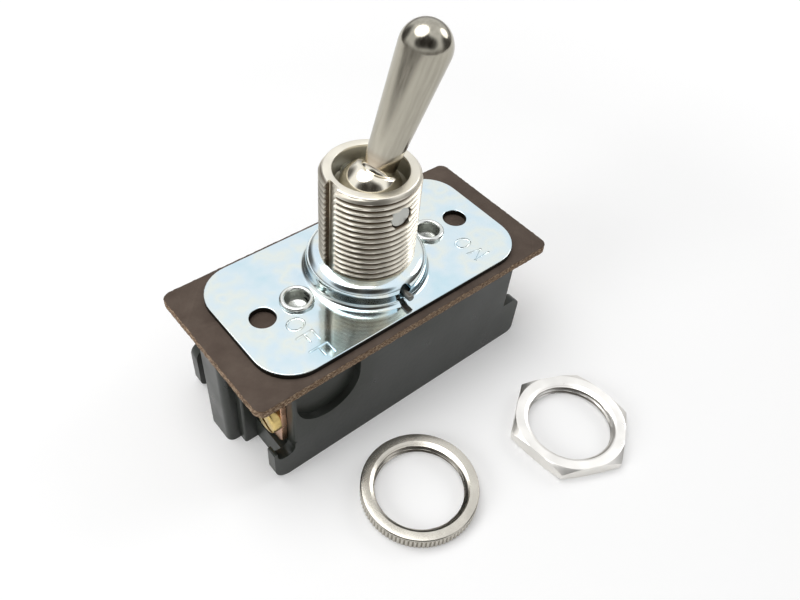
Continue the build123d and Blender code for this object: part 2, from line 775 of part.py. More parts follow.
finish(hex_nut, "hex_nut")

with BuildPart() as knurled_nut:
    with BuildSketch(Plane.XY.offset(base_bottom)):
        with Locations(knurled_nut_centre):
            Circle(knurled_nut_r)
            Circle(nut_thread_r, mode=Mode.SUBTRACT)
    extrude(amount=nut_height)
    rims = knurled_nut.edges().filter_by(GeomType.CIRCLE)
    chamfer(rims.group_by(SortBy.RADIUS)[-1], knurled_nut_edge)
    chamfer(rims.group_by(SortBy.RADIUS)[0], nut_countersink_r - nut_thread_r)
finish(knurled_nut, "knurled_nut")
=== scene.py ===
# %% [markdown]
# Panel toggle switch with its two panel nuts
#
# The solid model arrives as a fixed frame: every node already lies where it belongs, in metres.
# The frame could be restyled node by node, or every piece could be built again from nothing. Here the nodes
# whose shapes are right keep their meshes and get a finish, and a node is replaced only where the real piece
# has something that its solid leaves out: threads, the round nut's teeth, the stamped words in the plate, the
# torn edge of the fibre sheet, the spring's wire and the softened edges of turned and moulded pieces.

import json
from math import acos, asin, atan2, ceil, cos, hypot, pi, radians, sin, sqrt

import bmesh
import bpy
from mathutils import Matrix, Vector


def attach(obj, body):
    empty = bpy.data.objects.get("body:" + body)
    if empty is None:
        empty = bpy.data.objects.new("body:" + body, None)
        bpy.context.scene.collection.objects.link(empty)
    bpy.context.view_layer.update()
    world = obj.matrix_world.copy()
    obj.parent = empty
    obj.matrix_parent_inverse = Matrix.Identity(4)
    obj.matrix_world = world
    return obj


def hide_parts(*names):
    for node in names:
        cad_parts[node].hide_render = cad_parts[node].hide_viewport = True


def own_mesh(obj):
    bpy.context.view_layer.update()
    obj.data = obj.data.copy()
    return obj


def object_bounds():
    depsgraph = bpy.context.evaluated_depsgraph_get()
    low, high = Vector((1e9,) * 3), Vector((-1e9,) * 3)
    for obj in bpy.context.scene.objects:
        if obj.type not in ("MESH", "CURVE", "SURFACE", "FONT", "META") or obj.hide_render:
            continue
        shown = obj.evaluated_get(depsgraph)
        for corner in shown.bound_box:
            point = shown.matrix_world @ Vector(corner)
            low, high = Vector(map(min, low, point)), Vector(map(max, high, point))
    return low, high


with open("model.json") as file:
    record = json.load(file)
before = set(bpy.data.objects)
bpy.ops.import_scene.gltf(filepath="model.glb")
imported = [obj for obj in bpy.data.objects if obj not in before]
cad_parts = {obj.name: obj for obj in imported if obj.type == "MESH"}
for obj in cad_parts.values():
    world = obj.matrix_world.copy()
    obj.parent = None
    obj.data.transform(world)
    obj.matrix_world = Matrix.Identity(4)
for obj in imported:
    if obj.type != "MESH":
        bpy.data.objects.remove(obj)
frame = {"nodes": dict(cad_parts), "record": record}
nodes = frame["nodes"]
MM = 0.001


def plain_box():
    """The whole object's box as plain lists of numbers."""
    low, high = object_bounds()
    return [list(low), list(high)]


cad_box = plain_box()
print("nodes", len(nodes), "box in mm", [[round(value / MM, 2) for value in corner] for corner in cad_box])

# %% [markdown]
# The camera
#
# The photograph was taken from close by, so the near corner of the plate looks larger than the far one.
# A camera could be aimed by eye. This one comes from a fit of the plate's corners, the holes and the circles
# in the picture, which gives its place, the three directions of its picture and its focal length.

# %% Place the camera
IMAGE_WIDTH = 800
FOCAL_PIXELS = 754.2
CAMERA_PLACE = Vector((-44.18, -51.95, 63.98)) * MM
PICTURE_RIGHT = Vector((0.7650, -0.6399, 0.0727))
PICTURE_DOWN = Vector((-0.4326, -0.5942, -0.6781))
LOOKING = Vector((0.4771, 0.4873, -0.7314))


def put_in_scene(name, data):
    """Make an object of some data and link it to the scene, at the origin."""
    thing = bpy.data.objects.new(name, data)
    bpy.context.collection.objects.link(thing)
    return thing


camera_data = bpy.data.cameras.new("camera")
camera_data.sensor_width = 36
camera_data.lens = FOCAL_PIXELS / IMAGE_WIDTH * camera_data.sensor_width
camera_data.clip_start = 0.002
camera = put_in_scene("camera", camera_data)
turn = Matrix((PICTURE_RIGHT, -PICTURE_DOWN, -LOOKING)).transposed()
camera.matrix_world = Matrix.Translation(CAMERA_PLACE) @ turn.to_4x4()
bpy.context.scene.camera = camera
bpy.context.scene.view_settings.view_transform = "Standard"
print("lens", round(camera_data.lens, 2), "mm on a 36 mm sensor")

# %% [markdown]
# Small tools for node trees
#
# Materials and geometry trees are both made of nodes that are added, set and linked. Doing that by hand
# takes four lines a node, so one helper adds a node and sets or links each input by its name. The others
# build on it and return the answer's socket, so that calls can be nested like a formula.

# %% Helpers that add nodes
def add(tree, kind, settings=None, **inputs):
    """Add one node, then set or link each input. An input named i2 is the third one."""
    node = tree.nodes.new(kind)
    for name, value in (settings or {}).items():
        setattr(node, name, value)
    for name, value in inputs.items():
        numbered = name[0] == "i" and name[1:].isdigit()
        socket = node.inputs[int(name[1:])] if numbered else node.inputs[name.replace("_", " ")]
        if isinstance(value, bpy.types.NodeSocket):
            tree.links.new(value, socket)
        else:
            socket.default_value = value
    return node


def calculate(tree, operation, first, second=0.0, third=0.0):
    """One Math node."""
    return add(tree, "ShaderNodeMath", {"operation": operation}, i0=first, i1=second, i2=third).outputs[0]


def times(tree, first, second):
    """The product of two numbers."""
    return calculate(tree, "MULTIPLY", first, second)


def plus(tree, first, second):
    """The sum of two numbers."""
    return calculate(tree, "ADD", first, second)


def minus(tree, first, second):
    """The first number less the second."""
    return calculate(tree, "SUBTRACT", first, second)


def over(tree, first, second):
    """The first number divided by the second."""
    return calculate(tree, "DIVIDE", first, second)


def on_vectors(tree, operation, first, second=(0, 0, 0), scale=1.0):
    """One Vector Math node. Its answer is a number for a length or a dot product, and a vector otherwise."""
    node = add(tree, "ShaderNodeVectorMath", {"operation": operation}, i0=first, i1=second, i3=scale)
    return node.outputs["Value" if operation in ("LENGTH", "DOT_PRODUCT") else "Vector"]


def parts_of(tree, vector):
    """The three parts of a vector, by their letters."""
    return add(tree, "ShaderNodeSeparateXYZ", Vector=vector).outputs


def ramp(tree, value, *stops):
    """Turn a number into a colour through (place, colour) stops."""
    node = add(tree, "ShaderNodeValToRGB", Fac=value)
    band = node.color_ramp.elements
    while len(band) < len(stops):
        band.new(0.5)
    for element, (place, colour) in zip(band, stops):
        element.position = place
        element.color = (*colour, 1)
    return node.outputs["Color"]


def blend_colours(tree, amount, first, second):
    """Mix two colours by an amount from 0 to 1."""
    node = add(tree, "ShaderNodeMix", {"data_type": "RGBA"}, i0=amount)
    for index, colour in ((6, first), (7, second)):
        if isinstance(colour, bpy.types.NodeSocket):
            tree.links.new(colour, node.inputs[index])
        else:
            node.inputs[index].default_value = (*colour, 1)
    return node.outputs[2]


def scale_range(tree, value, low, high, out_low, out_high):
    """Stretch a number from one range to another and stop at its ends."""
    keys = {"From_Min": low, "From_Max": high, "To_Min": out_low, "To_Max": out_high}
    return add(tree, "ShaderNodeMapRange", Value=value, **keys).outputs[0]


# %% [markdown]
# The table, the surroundings and the lamps
#
# The switch stands on a white sheet in a bright room. The sheet's own light lifts it to white as in the
# photograph, and more so far away, where no lamp reaches. Polished metal shows what stands round it, so an
# even white room would leave the nickel flat and chalky. The room's light is plain and soft. What polished
# pieces mirror has a few soft darker fields, which stand for the room beyond the sheet, and two of the lamps.

# %% Floor and surroundings
floor_height = cad_box[0][2]
FLOOR_HALF = 0.6
FLOOR_LIFT = 0.17
FAR_LIFT = 0.60
LIFT_STARTS, LIFT_ENDS = 0.08, 0.35

floor_mesh = bpy.data.meshes.new("floor")
corner_signs = ((-1, -1), (1, -1), (1, 1), (-1, 1))
floor_spots = [(x * FLOOR_HALF, y * FLOOR_HALF, floor_height) for x, y in corner_signs]
floor_mesh.from_pydata(floor_spots, [], [(0, 1, 2, 3)])
floor = put_in_scene("floor", floor_mesh)

floor_finish = bpy.data.materials.new("white_sheet")
floor_finish.use_nodes = True
tree = floor_finish.node_tree
tree.nodes.clear()
ray = add(tree, "ShaderNodeLightPath").outputs
seen = calculate(tree, "MAXIMUM", ray["Is Camera Ray"], ray["Is Glossy Ray"])
seen = calculate(tree, "MAXIMUM", seen, ray["Is Transmission Ray"])
from_middle = on_vectors(tree, "LENGTH", add(tree, "ShaderNodeTexCoord").outputs["Object"])
lift_here = scale_range(tree, from_middle, LIFT_STARTS, LIFT_ENDS, FLOOR_LIFT, FAR_LIFT)
sheet = add(tree, "ShaderNodeBsdfDiffuse", Color=(0.84, 0.84, 0.84, 1))
lift = add(tree, "ShaderNodeEmission", Color=(1, 1, 1, 1), Strength=times(tree, seen, lift_here))
both = add(tree, "ShaderNodeAddShader", i0=sheet.outputs[0], i1=lift.outputs[0])
add(tree, "ShaderNodeOutputMaterial", Surface=both.outputs[0])
floor_mesh.materials.append(floor_finish)

ROOM_LEVEL = 0.34
DARK_ROOM = (0.035, 0.031, 0.027)
DARK_FIELDS = [
    ((-0.48, -0.49, 0.73), 0.84, 0.93),
    ((-0.74, -0.20, 0.62), 0.88, 0.96),
    ((-0.18, -0.76, 0.62), 0.88, 0.96),
    ((0.80, -0.52, 0.20), 0.86, 0.97),
    ((-0.25, 0.90, 0.25), 0.90, 0.98),
]

world = bpy.data.worlds.new("room")
bpy.context.scene.world = world
world.use_nodes = True
tree = world.node_tree
tree.nodes.clear()
towards = add(tree, "ShaderNodeTexCoord").outputs["Generated"]
height = parts_of(tree, towards)["Z"]
mirrored = ramp(tree, scale_range(tree, height, -0.2, 1.0, 0, 1), (0.0, (0.55, 0.54, 0.53)),
                (0.20, (0.30, 0.29, 0.28)), (0.42, (0.95, 0.96, 0.97)), (1.0, (1.05, 1.06, 1.08)))
for direction, soft_edge, full in DARK_FIELDS:
    facing = on_vectors(tree, "DOT_PRODUCT", towards, Vector(direction).normalized())
    mirrored = blend_colours(tree, scale_range(tree, facing, soft_edge, full, 0, 0.9), mirrored, DARK_ROOM)
ray = add(tree, "ShaderNodeLightPath").outputs
colour = blend_colours(tree, ray["Is Glossy Ray"], (ROOM_LEVEL, ROOM_LEVEL, ROOM_LEVEL), mirrored)
seen = calculate(tree, "MAXIMUM", ray["Is Camera Ray"], ray["Is Transmission Ray"])
colour = blend_colours(tree, seen, colour, (1, 1, 1))
surroundings = add(tree, "ShaderNodeBackground", Color=colour, Strength=1.0)
add(tree, "ShaderNodeOutputWorld", Surface=surroundings.outputs[0])

# %% Soft lamps
def soft_lamp(name, place, size, power, mirrored=False):
    """A round lamp aimed at the frame's origin, in millimetres. Metal shows it only if it is mirrored."""
    data = bpy.data.lights.new(name, "AREA")
    data.shape = "DISK"
    data.size = size * MM
    data.energy = power
    lamp = put_in_scene(name, data)
    away = Vector(place) * MM
    lamp.visible_glossy = mirrored
    lamp.matrix_world = Matrix.Translation(away) @ away.to_track_quat("Z", "Y").to_matrix().to_4x4()


soft_lamp("lamp_above", (-60, 80, 330), 300, 0.72, mirrored=True)
soft_lamp("lamp_left", (-330, 20, 160), 170, 0.42)
soft_lamp("lamp_right", (260, -60, 170), 150, 0.16, mirrored=True)

# %% [markdown]
# Finishes
#
# Each finish is a node material on Object coordinates, so its pattern is tied to the piece and has a true
# size: the coordinates are metres, and a noise of scale 1000 has grains of about a millimetre. Pictures of
# real surfaces could be wrapped round the pieces instead, but they would need unwrapping and files. One
# function makes the body of every finish from a colour, a roughness and a height for its bumps.

# %% The functions that all finishes share
def begin_finish(name):
    """A new material with an empty tree, and the coordinates that its patterns read."""
    material = bpy.data.materials.new(name)
    material.use_nodes = True
    material.node_tree.nodes.clear()
    place = add(material.node_tree, "ShaderNodeTexCoord").outputs["Object"]
    return material, material.node_tree, place


def noise(tree, place, scale, detail=3.0, rough=0.5, stretch=None):
    """Soft random patches. A stretch squeezes the pattern along chosen axes."""
    if stretch:
        place = add(tree, "ShaderNodeMapping", Vector=place, Scale=stretch).outputs[0]
    node = add(tree, "ShaderNodeTexNoise", Vector=place, Scale=scale, Detail=detail, Roughness=rough)
    return node.outputs["Fac"]


def end_finish(tree, colour, roughness, metal, bumps, bump_height, **shader):
    """Join colour, roughness and bumps in one shader and give it to the surface."""
    body = add(tree, "ShaderNodeBsdfPrincipled", Base_Color=colour, Roughness=roughness, Metallic=metal,
               **shader)
    bump = add(tree, "ShaderNodeBump", Strength=1.0, Distance=bump_height * MM, Height=bumps)
    tree.links.new(bump.outputs[0], body.inputs["Normal"])
    add(tree, "ShaderNodeOutputMaterial", Surface=body.outputs[0])


def shade(tint, share):
    """A darker or lighter colour of the same hue."""
    return tuple(share * part for part in tint)


def level_faces(tree):
    """0 on upright sides and 1 on faces that look up or down."""
    facing = add(tree, "ShaderNodeTexCoord").outputs["Normal"]
    return calculate(tree, "ABSOLUTE", parts_of(tree, facing)["Z"])


def radius_round(tree, place, centre=(0, 0)):
    """Distance from an upright axis."""
    to_axis = (-centre[0] * MM, -centre[1] * MM, 0)
    centred = add(tree, "ShaderNodeMapping", Vector=place, Location=to_axis).outputs[0]
    return on_vectors(tree, "LENGTH", on_vectors(tree, "MULTIPLY", centred, (1, 1, 0)))


# %% [markdown]
# Nickel on turned steel
#
# The bushing, the lever, the rivets and the nuts have a warm bright nickel finish over turning marks. Two
# things make it look real: roughness that varies in soft patches, and dark colour in hollows, which is
# painted shade, with some tarnish in the threads' grooves. Those hollows are the threads' grooves, the
# bushing's bore, the rivets' eyes and the gaps between the teeth. The dark could be painted into the mesh,
# but the distance from a piece's axis tells a hollow, so the material measures it.

# %% Nickel
# Dark brown for the bottoms of thread grooves: partly tarnish, partly painted shade.
GROOVE_TARNISH_AND_SHADE = (0.11, 0.075, 0.045)


def nickel(name, tint=(0.79, 0.745, 0.65), smooth=0.13, grooves=(), centre=(0, 0), tarnish_and_shade_top=100.0):
    """Bright nickel with painted shade, and some tarnish, in hollows. A groove is (radius where the dark is
    full, radius where it ends, reach, its colour).
    """
    material, tree, place = begin_finish(name)
    patches = noise(tree, place, 260, 4.0)
    grain = noise(tree, place, 5200, 2.0, stretch=(1, 1, 6))
    colour = ramp(tree, patches, (0.3, shade(tint, 0.86)), (0.7, tint))
    roughness = scale_range(tree, patches, 0.25, 0.75, smooth - 0.03, smooth + 0.09)
    # Each groove paints shade into a hollow: darkest at its full radius, fading to its end, and only below
    # the top level.
    for full, end, reach, tarnish_and_shade_tint in grooves:
        radius = radius_round(tree, place, centre)
        tarnish_and_shade = scale_range(tree, radius, full * MM, end * MM, 0.95, 0.0)
        tarnish_and_shade = times(tree, tarnish_and_shade, calculate(tree, "COMPARE", radius, full * MM, reach * MM))
        level = parts_of(tree, place)["Z"]
        tarnish_and_shade = times(tree, tarnish_and_shade, scale_range(tree, level, (tarnish_and_shade_top - 0.2) * MM, tarnish_and_shade_top * MM, 1, 0))
        colour = blend_colours(tree, tarnish_and_shade, colour, tarnish_and_shade_tint)
        roughness = plus(tree, roughness, times(tree, tarnish_and_shade, 0.2))
    end_finish(tree, colour, roughness, 1.0, grain, 0.004)
    return material


# %% [markdown]
# Bright zinc on the mounting plate
#
# Zinc plating with a clear passivation is a pale, slightly blue metal. A thin film on it gives faint yellow
# and green clouds, and handling leaves fine scratches in every direction. The clouds come from a slow noise
# through a narrow ramp of colours, and the scratches from two stretched noises that are crossed. Upright
# faces beyond the dome, which are the plate's outer edge and its holes, are painted near black: painted shade
# and a painted reflection of the dark fibre beside them.

# %% Zinc
DARK_EDGE_FROM_R = 9.4


def zinc(name):
    """Pale plated sheet with faint coloured clouds, fine scratches, and upright edges painted dark as shade
    and reflection.
    """
    material, tree, place = begin_finish(name)
    clouds = noise(tree, place, 150, 3.0, 0.55)
    colour = ramp(tree, clouds, (0.30, (0.60, 0.77, 0.84)), (0.44, (0.70, 0.81, 0.86)),
                  (0.53, (0.78, 0.83, 0.79)), (0.62, (0.69, 0.80, 0.86)), (0.75, (0.57, 0.73, 0.83)))
    along = scale_range(tree, noise(tree, place, 900, 4.0, 0.7, (1, 14, 1)), 0.62, 0.75, 0, 1)
    across = scale_range(tree, noise(tree, place, 900, 4.0, 0.7, (11, 1, 1)), 0.66, 0.78, 0, 1)
    scratches = calculate(tree, "MAXIMUM", along, across)
    roughness = plus(tree, scale_range(tree, clouds, 0.3, 0.7, 0.08, 0.14), times(tree, scratches, 0.12))
    # Painted shade and reflection: upright faces beyond the dome are darkened to near black.
    beyond_dome = calculate(tree, "GREATER_THAN", radius_round(tree, place), DARK_EDGE_FROM_R * MM)
    painted_dark_edge = times(tree, scale_range(tree, level_faces(tree), 0.2, 0.5, 1, 0), beyond_dome)
    colour = blend_colours(tree, painted_dark_edge, colour, (0.05, 0.048, 0.043))
    roughness = plus(tree, roughness, times(tree, painted_dark_edge, 0.3))
    end_finish(tree, colour, roughness, 1.0, noise(tree, place, 2600, 3.0), 0.003)
    return material


# %% [markdown]
# Moulded, pressed and rolled finishes
#
# The base is black phenolic with a skin that shines a little and carries dust. The insulator is vulcanised
# fibre, matt and brown, and paler and hairy where it was punched through, which its side faces show. The
# terminals are copper strip under brass screws, and the contacts have silver buttons.

# %% Phenolic, fibre, copper, brass, silver and spring steel
def phenolic(name, tint, smooth):
    """Moulded phenolic: a dark skin with soft flow patches and pale dust."""
    material, tree, place = begin_finish(name)
    flow = noise(tree, place, 220, 4.0)
    specks = scale_range(tree, noise(tree, place, 3800, 2.0, 0.6), 0.70, 0.80, 0.0, 0.3)
    colour = ramp(tree, flow, (0.3, tint), (0.8, shade(tint, 1.5)))
    colour = blend_colours(tree, specks, colour, (0.16, 0.155, 0.14))
    roughness = scale_range(tree, flow, 0.3, 0.7, smooth, smooth + 0.14)
    end_finish(tree, colour, roughness, 0.0, noise(tree, place, 1500, 3.0), 0.012, Specular_IOR_Level=0.36)
    return material


def vulcanised_fibre(name):
    """Brown fibre sheet: matt faces, and paler torn fibres on the punched sides."""
    material, tree, place = begin_finish(name)
    clouds = noise(tree, place, 300, 5.0, 0.6)
    hairs = noise(tree, place, 2600, 4.0, 0.65, (1, 1, 4))
    face = ramp(tree, clouds, (0.25, (0.078, 0.056, 0.044)), (0.75, (0.128, 0.099, 0.080)))
    side = ramp(tree, hairs, (0.34, (0.050, 0.032, 0.022)), (0.5, (0.19, 0.118, 0.070)),
                (0.64, (0.60, 0.46, 0.32)))
    colour = blend_colours(tree, scale_range(tree, level_faces(tree), 0.3, 0.8, 0, 1), side, face)
    height = plus(tree, noise(tree, place, 4200, 4.0, 0.7), hairs)
    roughness = scale_range(tree, clouds, 0.3, 0.7, 0.55, 0.72)
    end_finish(tree, colour, roughness, 0.0, height, 0.02, Specular_IOR_Level=0.10)
    return material


def rolled_metal(name, tint, smooth):
    """Copper, brass, silver or spring steel, with a slightly uneven tarnish."""
    material, tree, place = begin_finish(name)
    tarnish = noise(tree, place, 420, 4.0)
    colour = ramp(tree, tarnish, (0.3, shade(tint, 0.72)), (0.65, tint))
    lines = noise(tree, place, 2400, 2.0, stretch=(1, 1, 8))
    end_finish(tree, colour, scale_range(tree, tarnish, 0.3, 0.7, smooth, smooth + 0.15), 1.0, lines, 0.006)
    return material


finish_of_slot = {
    "black_phenolic": phenolic("black_phenolic_skin", (0.023, 0.026, 0.022), 0.27),
    "vulcanised_fibre": vulcanised_fibre("fibre_sheet"),
    "zinc_plate": zinc("bright_zinc"),
    "nickel": nickel("bright_nickel"),
    "brown_phenolic": phenolic("brown_phenolic_skin", (0.10, 0.042, 0.02), 0.42),
    "copper": rolled_metal("copper_strip", (0.82, 0.50, 0.33), 0.20),
    "brass": rolled_metal("turned_brass", (0.78, 0.59, 0.24), 0.20),
    "silver": rolled_metal("contact_silver", (0.86, 0.85, 0.82), 0.30),
    "spring_steel": rolled_metal("spring_wire", (0.58, 0.58, 0.60), 0.28),
}
print("finishes", sorted(finish_of_slot))

# %% [markdown]
# Give the frame's own pieces their finish
#
# The record names a finish slot for every node. The node's mesh stays as it is, and only what lies in its
# material slots changes. The two steel pins are duller than the nickel of their slot, so they have their own.

# %% Dress every node by its slot
slot_of_node = {row["node"]: row["material_slot"] for row in frame["record"]["subparts"]}
own_finish = {
    "pivot_pin": nickel("pin_end", (0.55, 0.56, 0.53), 0.30),
    "index_pin": nickel("index_pin_steel", (0.22, 0.215, 0.20), 0.28),
}
for name, piece in nodes.items():
    finish = own_finish.get(name, finish_of_slot[slot_of_node[name]])
    if not piece.data.materials:
        piece.data.materials.append(finish)
    for index in range(len(piece.data.materials)):
        piece.data.materials[index] = finish
print("dressed", len(nodes), "nodes")

# %% [markdown]
# Turned blanks
#
# A bushing, a lever and a nut are all turned: a profile is run round an axis. The Screw modifier could do it,
# but the thread needs rings at an even pitch and the flanks need their own density, so a short function
# places the rings itself. Corners get a real radius first, because no turned edge is perfectly sharp and the
# thin highlight along it is what the eye reads as metal.

# %% Helpers that round a profile and turn it
def round_corners(points, steps=4):
    """Replace each (x, y, radius) corner of a closed outline by an arc of that radius."""
    outline = []
    for index, (x, y, radius) in enumerate(points):
        corner = Vector((x, y))
        before = Vector(points[index - 1][:2])
        after = Vector(points[(index + 1) % len(points)][:2])
        if radius == 0:
            outline.append((x, y))
            continue
        back, ahead = (before - corner).normalized(), (after - corner).normalized()
        half_angle = acos(max(-1, min(1, back.dot(ahead)))) / 2
        tangent = radius / max(sin(half_angle), 1e-6) * cos(half_angle)
        centre = corner + (back + ahead).normalized() * radius / sin(half_angle)
        start, end = corner + back * tangent - centre, corner + ahead * tangent - centre
        sweep = start.angle_signed(end, 0)
        for step in range(steps + 1):
            outline.append(tuple(centre + Matrix.Rotation(-sweep * step / steps, 2) @ start))
    return outline


def divide_runs(outline, longest):
    """Divide a closed outline's runs. The longest run is a number, or a function of each run's middle."""
    divided = []
    for index, (x, y) in enumerate(outline):
        next_x, next_y = outline[(index + 1) % len(outline)]
        limit = longest((x + next_x) / 2, (y + next_y) / 2) if callable(longest) else longest
        pieces = max(1, ceil(hypot(next_x - x, next_y - y) / limit))
        for step in range(pieces):
            divided.append((x + (next_x - x) * step / pieces, y + (next_y - y) * step / pieces))
    return divided


def keep_mesh(name, work):
    """Make an object of a finished work mesh."""
    mesh = bpy.data.meshes.new(name)
    work.to_mesh(mesh)
    work.free()
    return put_in_scene(name, mesh)


def turn_blank(name, outline, segments, centre=(0, 0)):
    """Turn a closed outline of (radius, height) points round an upright axis. Radius 0 makes a pole."""
    work = bmesh.new()
    rings = []
    for radius, level in outline:
        count = 1 if radius < 1e-6 else segments
        ring = []
        for step in range(count):
            angle = 2 * pi * step / segments
            spot = (centre[0] + radius * cos(angle), centre[1] + radius * sin(angle), level)
            ring.append(work.verts.new(Vector(spot) * MM))
        rings.append(ring)
    for lower, upper in zip(rings, rings[1:] + rings[:1]):
        if len(lower) == 1 and len(upper) == 1:
            continue
        for step in range(segments):
            corners = []
            for ring, place in ((lower, step), (lower, step + 1), (upper, step + 1), (upper, step)):
                corner = ring[place % len(ring)]
                if corner not in corners:
                    corners.append(corner)
            work.faces.new(corners)
    bmesh.ops.recalc_face_normals(work, faces=work.faces)
    return keep_mesh(name, work)


def settle(piece, sharp_angle=35, weighted=True):
    """Shade smooth but keep true edges, and turn what the modifiers make into a plain mesh."""
    piece.data.shade_smooth()
    piece.data.set_sharp_from_angle(angle=radians(sharp_angle))
    if weighted:
        even = piece.modifiers.new("even_normals", "WEIGHTED_NORMAL")
        even.keep_sharp = True
    flatten(piece)


def flatten(piece):
    """Turn an object with modifiers into a plain mesh object."""
    bpy.context.view_layer.update()
    ready = piece.evaluated_get(bpy.context.evaluated_depsgraph_get())
    mesh = bpy.data.meshes.new_from_object(ready)
    piece.modifiers.clear()
    piece.data = mesh


def cut_away(piece, *cutters, way="DIFFERENCE", selfish=False):
    """Cut shapes out of a piece, add them or keep what they share with it, and drop the shapes."""
    for cutter in cutters:
        cut = piece.modifiers.new("cut", "BOOLEAN")
        cut.operation = way
        cut.solver = "EXACT"
        cut.use_self = selfish
        cut.object = cutter
    flatten(piece)
    for cutter in cutters:
        bpy.data.objects.remove(cutter)


def block(name, low, high):
    """A square-edged cutter between two corners in millimetres."""
    work = bmesh.new()
    bmesh.ops.create_cube(work, size=1)
    size = Vector(high) - Vector(low)
    middle = (Vector(high) + Vector(low)) / 2
    work.transform(Matrix.Translation(middle * MM) @ Matrix.Diagonal((*(size * MM), 1)))
    return keep_mesh(name, work)


def drill(name, radius, start, end, segments=64):
    """A round cutter between two points in millimetres."""
    start, end = Vector(start) * MM, Vector(end) * MM
    work = bmesh.new()
    bmesh.ops.create_cone(work, cap_ends=True, segments=segments, radius1=radius * MM, radius2=radius * MM,
                          depth=(end - start).length)
    aim = (end - start).to_track_quat("Z", "Y").to_matrix().to_4x4()
    work.transform(Matrix.Translation((start + end) / 2) @ aim)
    return keep_mesh(name, work)


# %% [markdown]
# The tree that cuts a thread
#
# A screw thread is one groove that climbs by its pitch on every turn, so it follows a rule that a geometry
# tree can state: the depth at a point depends only on its height and its angle round the axis. A helix could
# be swept as a cutter, but a cutter this long is slow and leaves slivers. The tree moves the blank's points
# instead. It never moves a point past the groove, so the chamfer at the end runs out as on a real screw.

# %% Helpers for geometry trees, and the thread tree
def begin_tree(name, **sockets):
    """A geometry tree with geometry, the named inputs and a finish coming in, and what it is given."""
    tree = bpy.data.node_groups.new(name, "GeometryNodeTree")
    kinds = {"Geometry": "Geometry", **sockets, "Finish": "Material"}
    for label, kind in kinds.items():
        tree.interface.new_socket(label.replace("_", " "), in_out="INPUT", socket_type="NodeSocket" + kind)
    tree.interface.new_socket("Geometry", in_out="OUTPUT", socket_type="NodeSocketGeometry")
    return tree, add(tree, "NodeGroupInput").outputs


def end_tree(tree, geometry, finish):
    """Make every instance real, dress the whole and hand it out."""
    real = add(tree, "GeometryNodeRealizeInstances", Geometry=geometry.outputs[0])
    dressed = add(tree, "GeometryNodeSetMaterial", Geometry=real.outputs[0], Material=finish)
    add(tree, "NodeGroupOutput", Geometry=dressed.outputs[0])
    return tree


def run_tree(piece, tree, **values):
    """Put a tree on a piece, set its named inputs by their identifiers, and keep the plain mesh."""
    modifier = piece.modifiers.new(tree.name, "NODES")
    modifier.node_group = tree
    for item in tree.interface.items_tree:
        key = item.name.replace(" ", "_")
        if item.in_out == "INPUT" and key in values:
            modifier[item.identifier] = values[key]
    flatten(piece)
    print(piece.name, tree.name, len(piece.data.polygons), "faces")


def place_round(tree, centre):
    """Where each point lies round an upright axis: its parts, its flat offset, its radius and its turns."""
    place = add(tree, "GeometryNodeInputPosition").outputs[0]
    parts = parts_of(tree, on_vectors(tree, "SUBTRACT", place, centre))
    across = add(tree, "ShaderNodeCombineXYZ", X=parts["X"], Y=parts["Y"]).outputs[0]
    turns = over(tree, calculate(tree, "ARCTAN2", parts["Y"], parts["X"]), 2 * pi)
    return parts, across, on_vectors(tree, "LENGTH", across), turns


def thread_tree():
    """Geometry tree: presses a triangular groove into the points of an upright turned wall."""
    tree, given = begin_tree("cut_thread", Centre="Vector", Pitch="Float", Depth="Float",
                             Crest_Radius="Float", Side="Float", Low="Float", High="Float")
    parts, across, radius, turns = place_round(tree, given["Centre"])
    side, crest = given["Side"], times(tree, given["Side"], given["Crest Radius"])
    climb = minus(tree, over(tree, parts["Z"], given["Pitch"]), turns)
    wave = calculate(tree, "PINGPONG", times(tree, climb, 2.0), 1.0)
    depth = times(tree, scale_range(tree, wave, 0.12, 0.90, 0, 1), given["Depth"])
    inward = calculate(tree, "MINIMUM", times(tree, side, radius), minus(tree, crest, depth))
    share = over(tree, times(tree, inward, side), radius)
    cut = parts_of(tree, on_vectors(tree, "SCALE", across, scale=share))
    lifted = add(tree, "ShaderNodeCombineXYZ", X=cut["X"], Y=cut["Y"], Z=parts["Z"]).outputs[0]
    back = on_vectors(tree, "ADD", lifted, given["Centre"])
    wall_starts = minus(tree, crest, times(tree, given["Depth"], 1.6))
    on_wall = calculate(tree, "GREATER_THAN", times(tree, side, radius), wall_starts)
    above = calculate(tree, "GREATER_THAN", parts["Z"], given["Low"])
    below = calculate(tree, "LESS_THAN", parts["Z"], given["High"])
    chosen = times(tree, times(tree, above, below), on_wall)
    moved = add(tree, "GeometryNodeSetPosition", Geometry=given["Geometry"], Selection=chosen, Position=back)
    return end_tree(tree, moved, given["Finish"])


PITCH = 25.4 / 32
THREAD_DEPTH = 0.44
cut_thread = thread_tree()

# %% [markdown]
# The bushing
#
# The bushing is a turned and threaded tube that the lever's ball sits in. A keyway runs down its OFF side,
# and a pin crosses it under the mouth. The blank is turned with sixteen rings to each turn of the thread, the
# tree cuts the thread, and the keyway and the pin's hole are cut last, so that the thread's ends stand along
# the keyway like a row of small teeth, as on the real one.

# %% Turn, thread and slot the bushing
THREAD_R = 5.953
THREAD_TOP = 12.08
TOP_RIM_R = 5.48
TOP_CHAMFER = 0.55
SEAT_R = 5.70
MOUTH_R = 4.42
MOUTH_FLOOR = 9.58
BORE_SHADE_END_R = 4.95
NECK_BOTTOM, NECK_TOP = 6.08, 9.16
NECK_R = 4.00
LOWER_BORE_R = 4.70
FLANGE_R = 6.60
FLANGE_TOP = -0.85
PIVOT_HEIGHT = 8.8
PIN_R = 1.35
PIN_MOUTH_R = 1.45
KEYWAY_HALF_WIDTH = 0.9
KEYWAY_FLOOR_R = 5.05
PLATE_TOP = -3.0
PLATE_BOTTOM = -3.8
# Painted shade for the bore's inner wall below the mouth.
BORE_SHADE_TINT = (0.40, 0.385, 0.33)

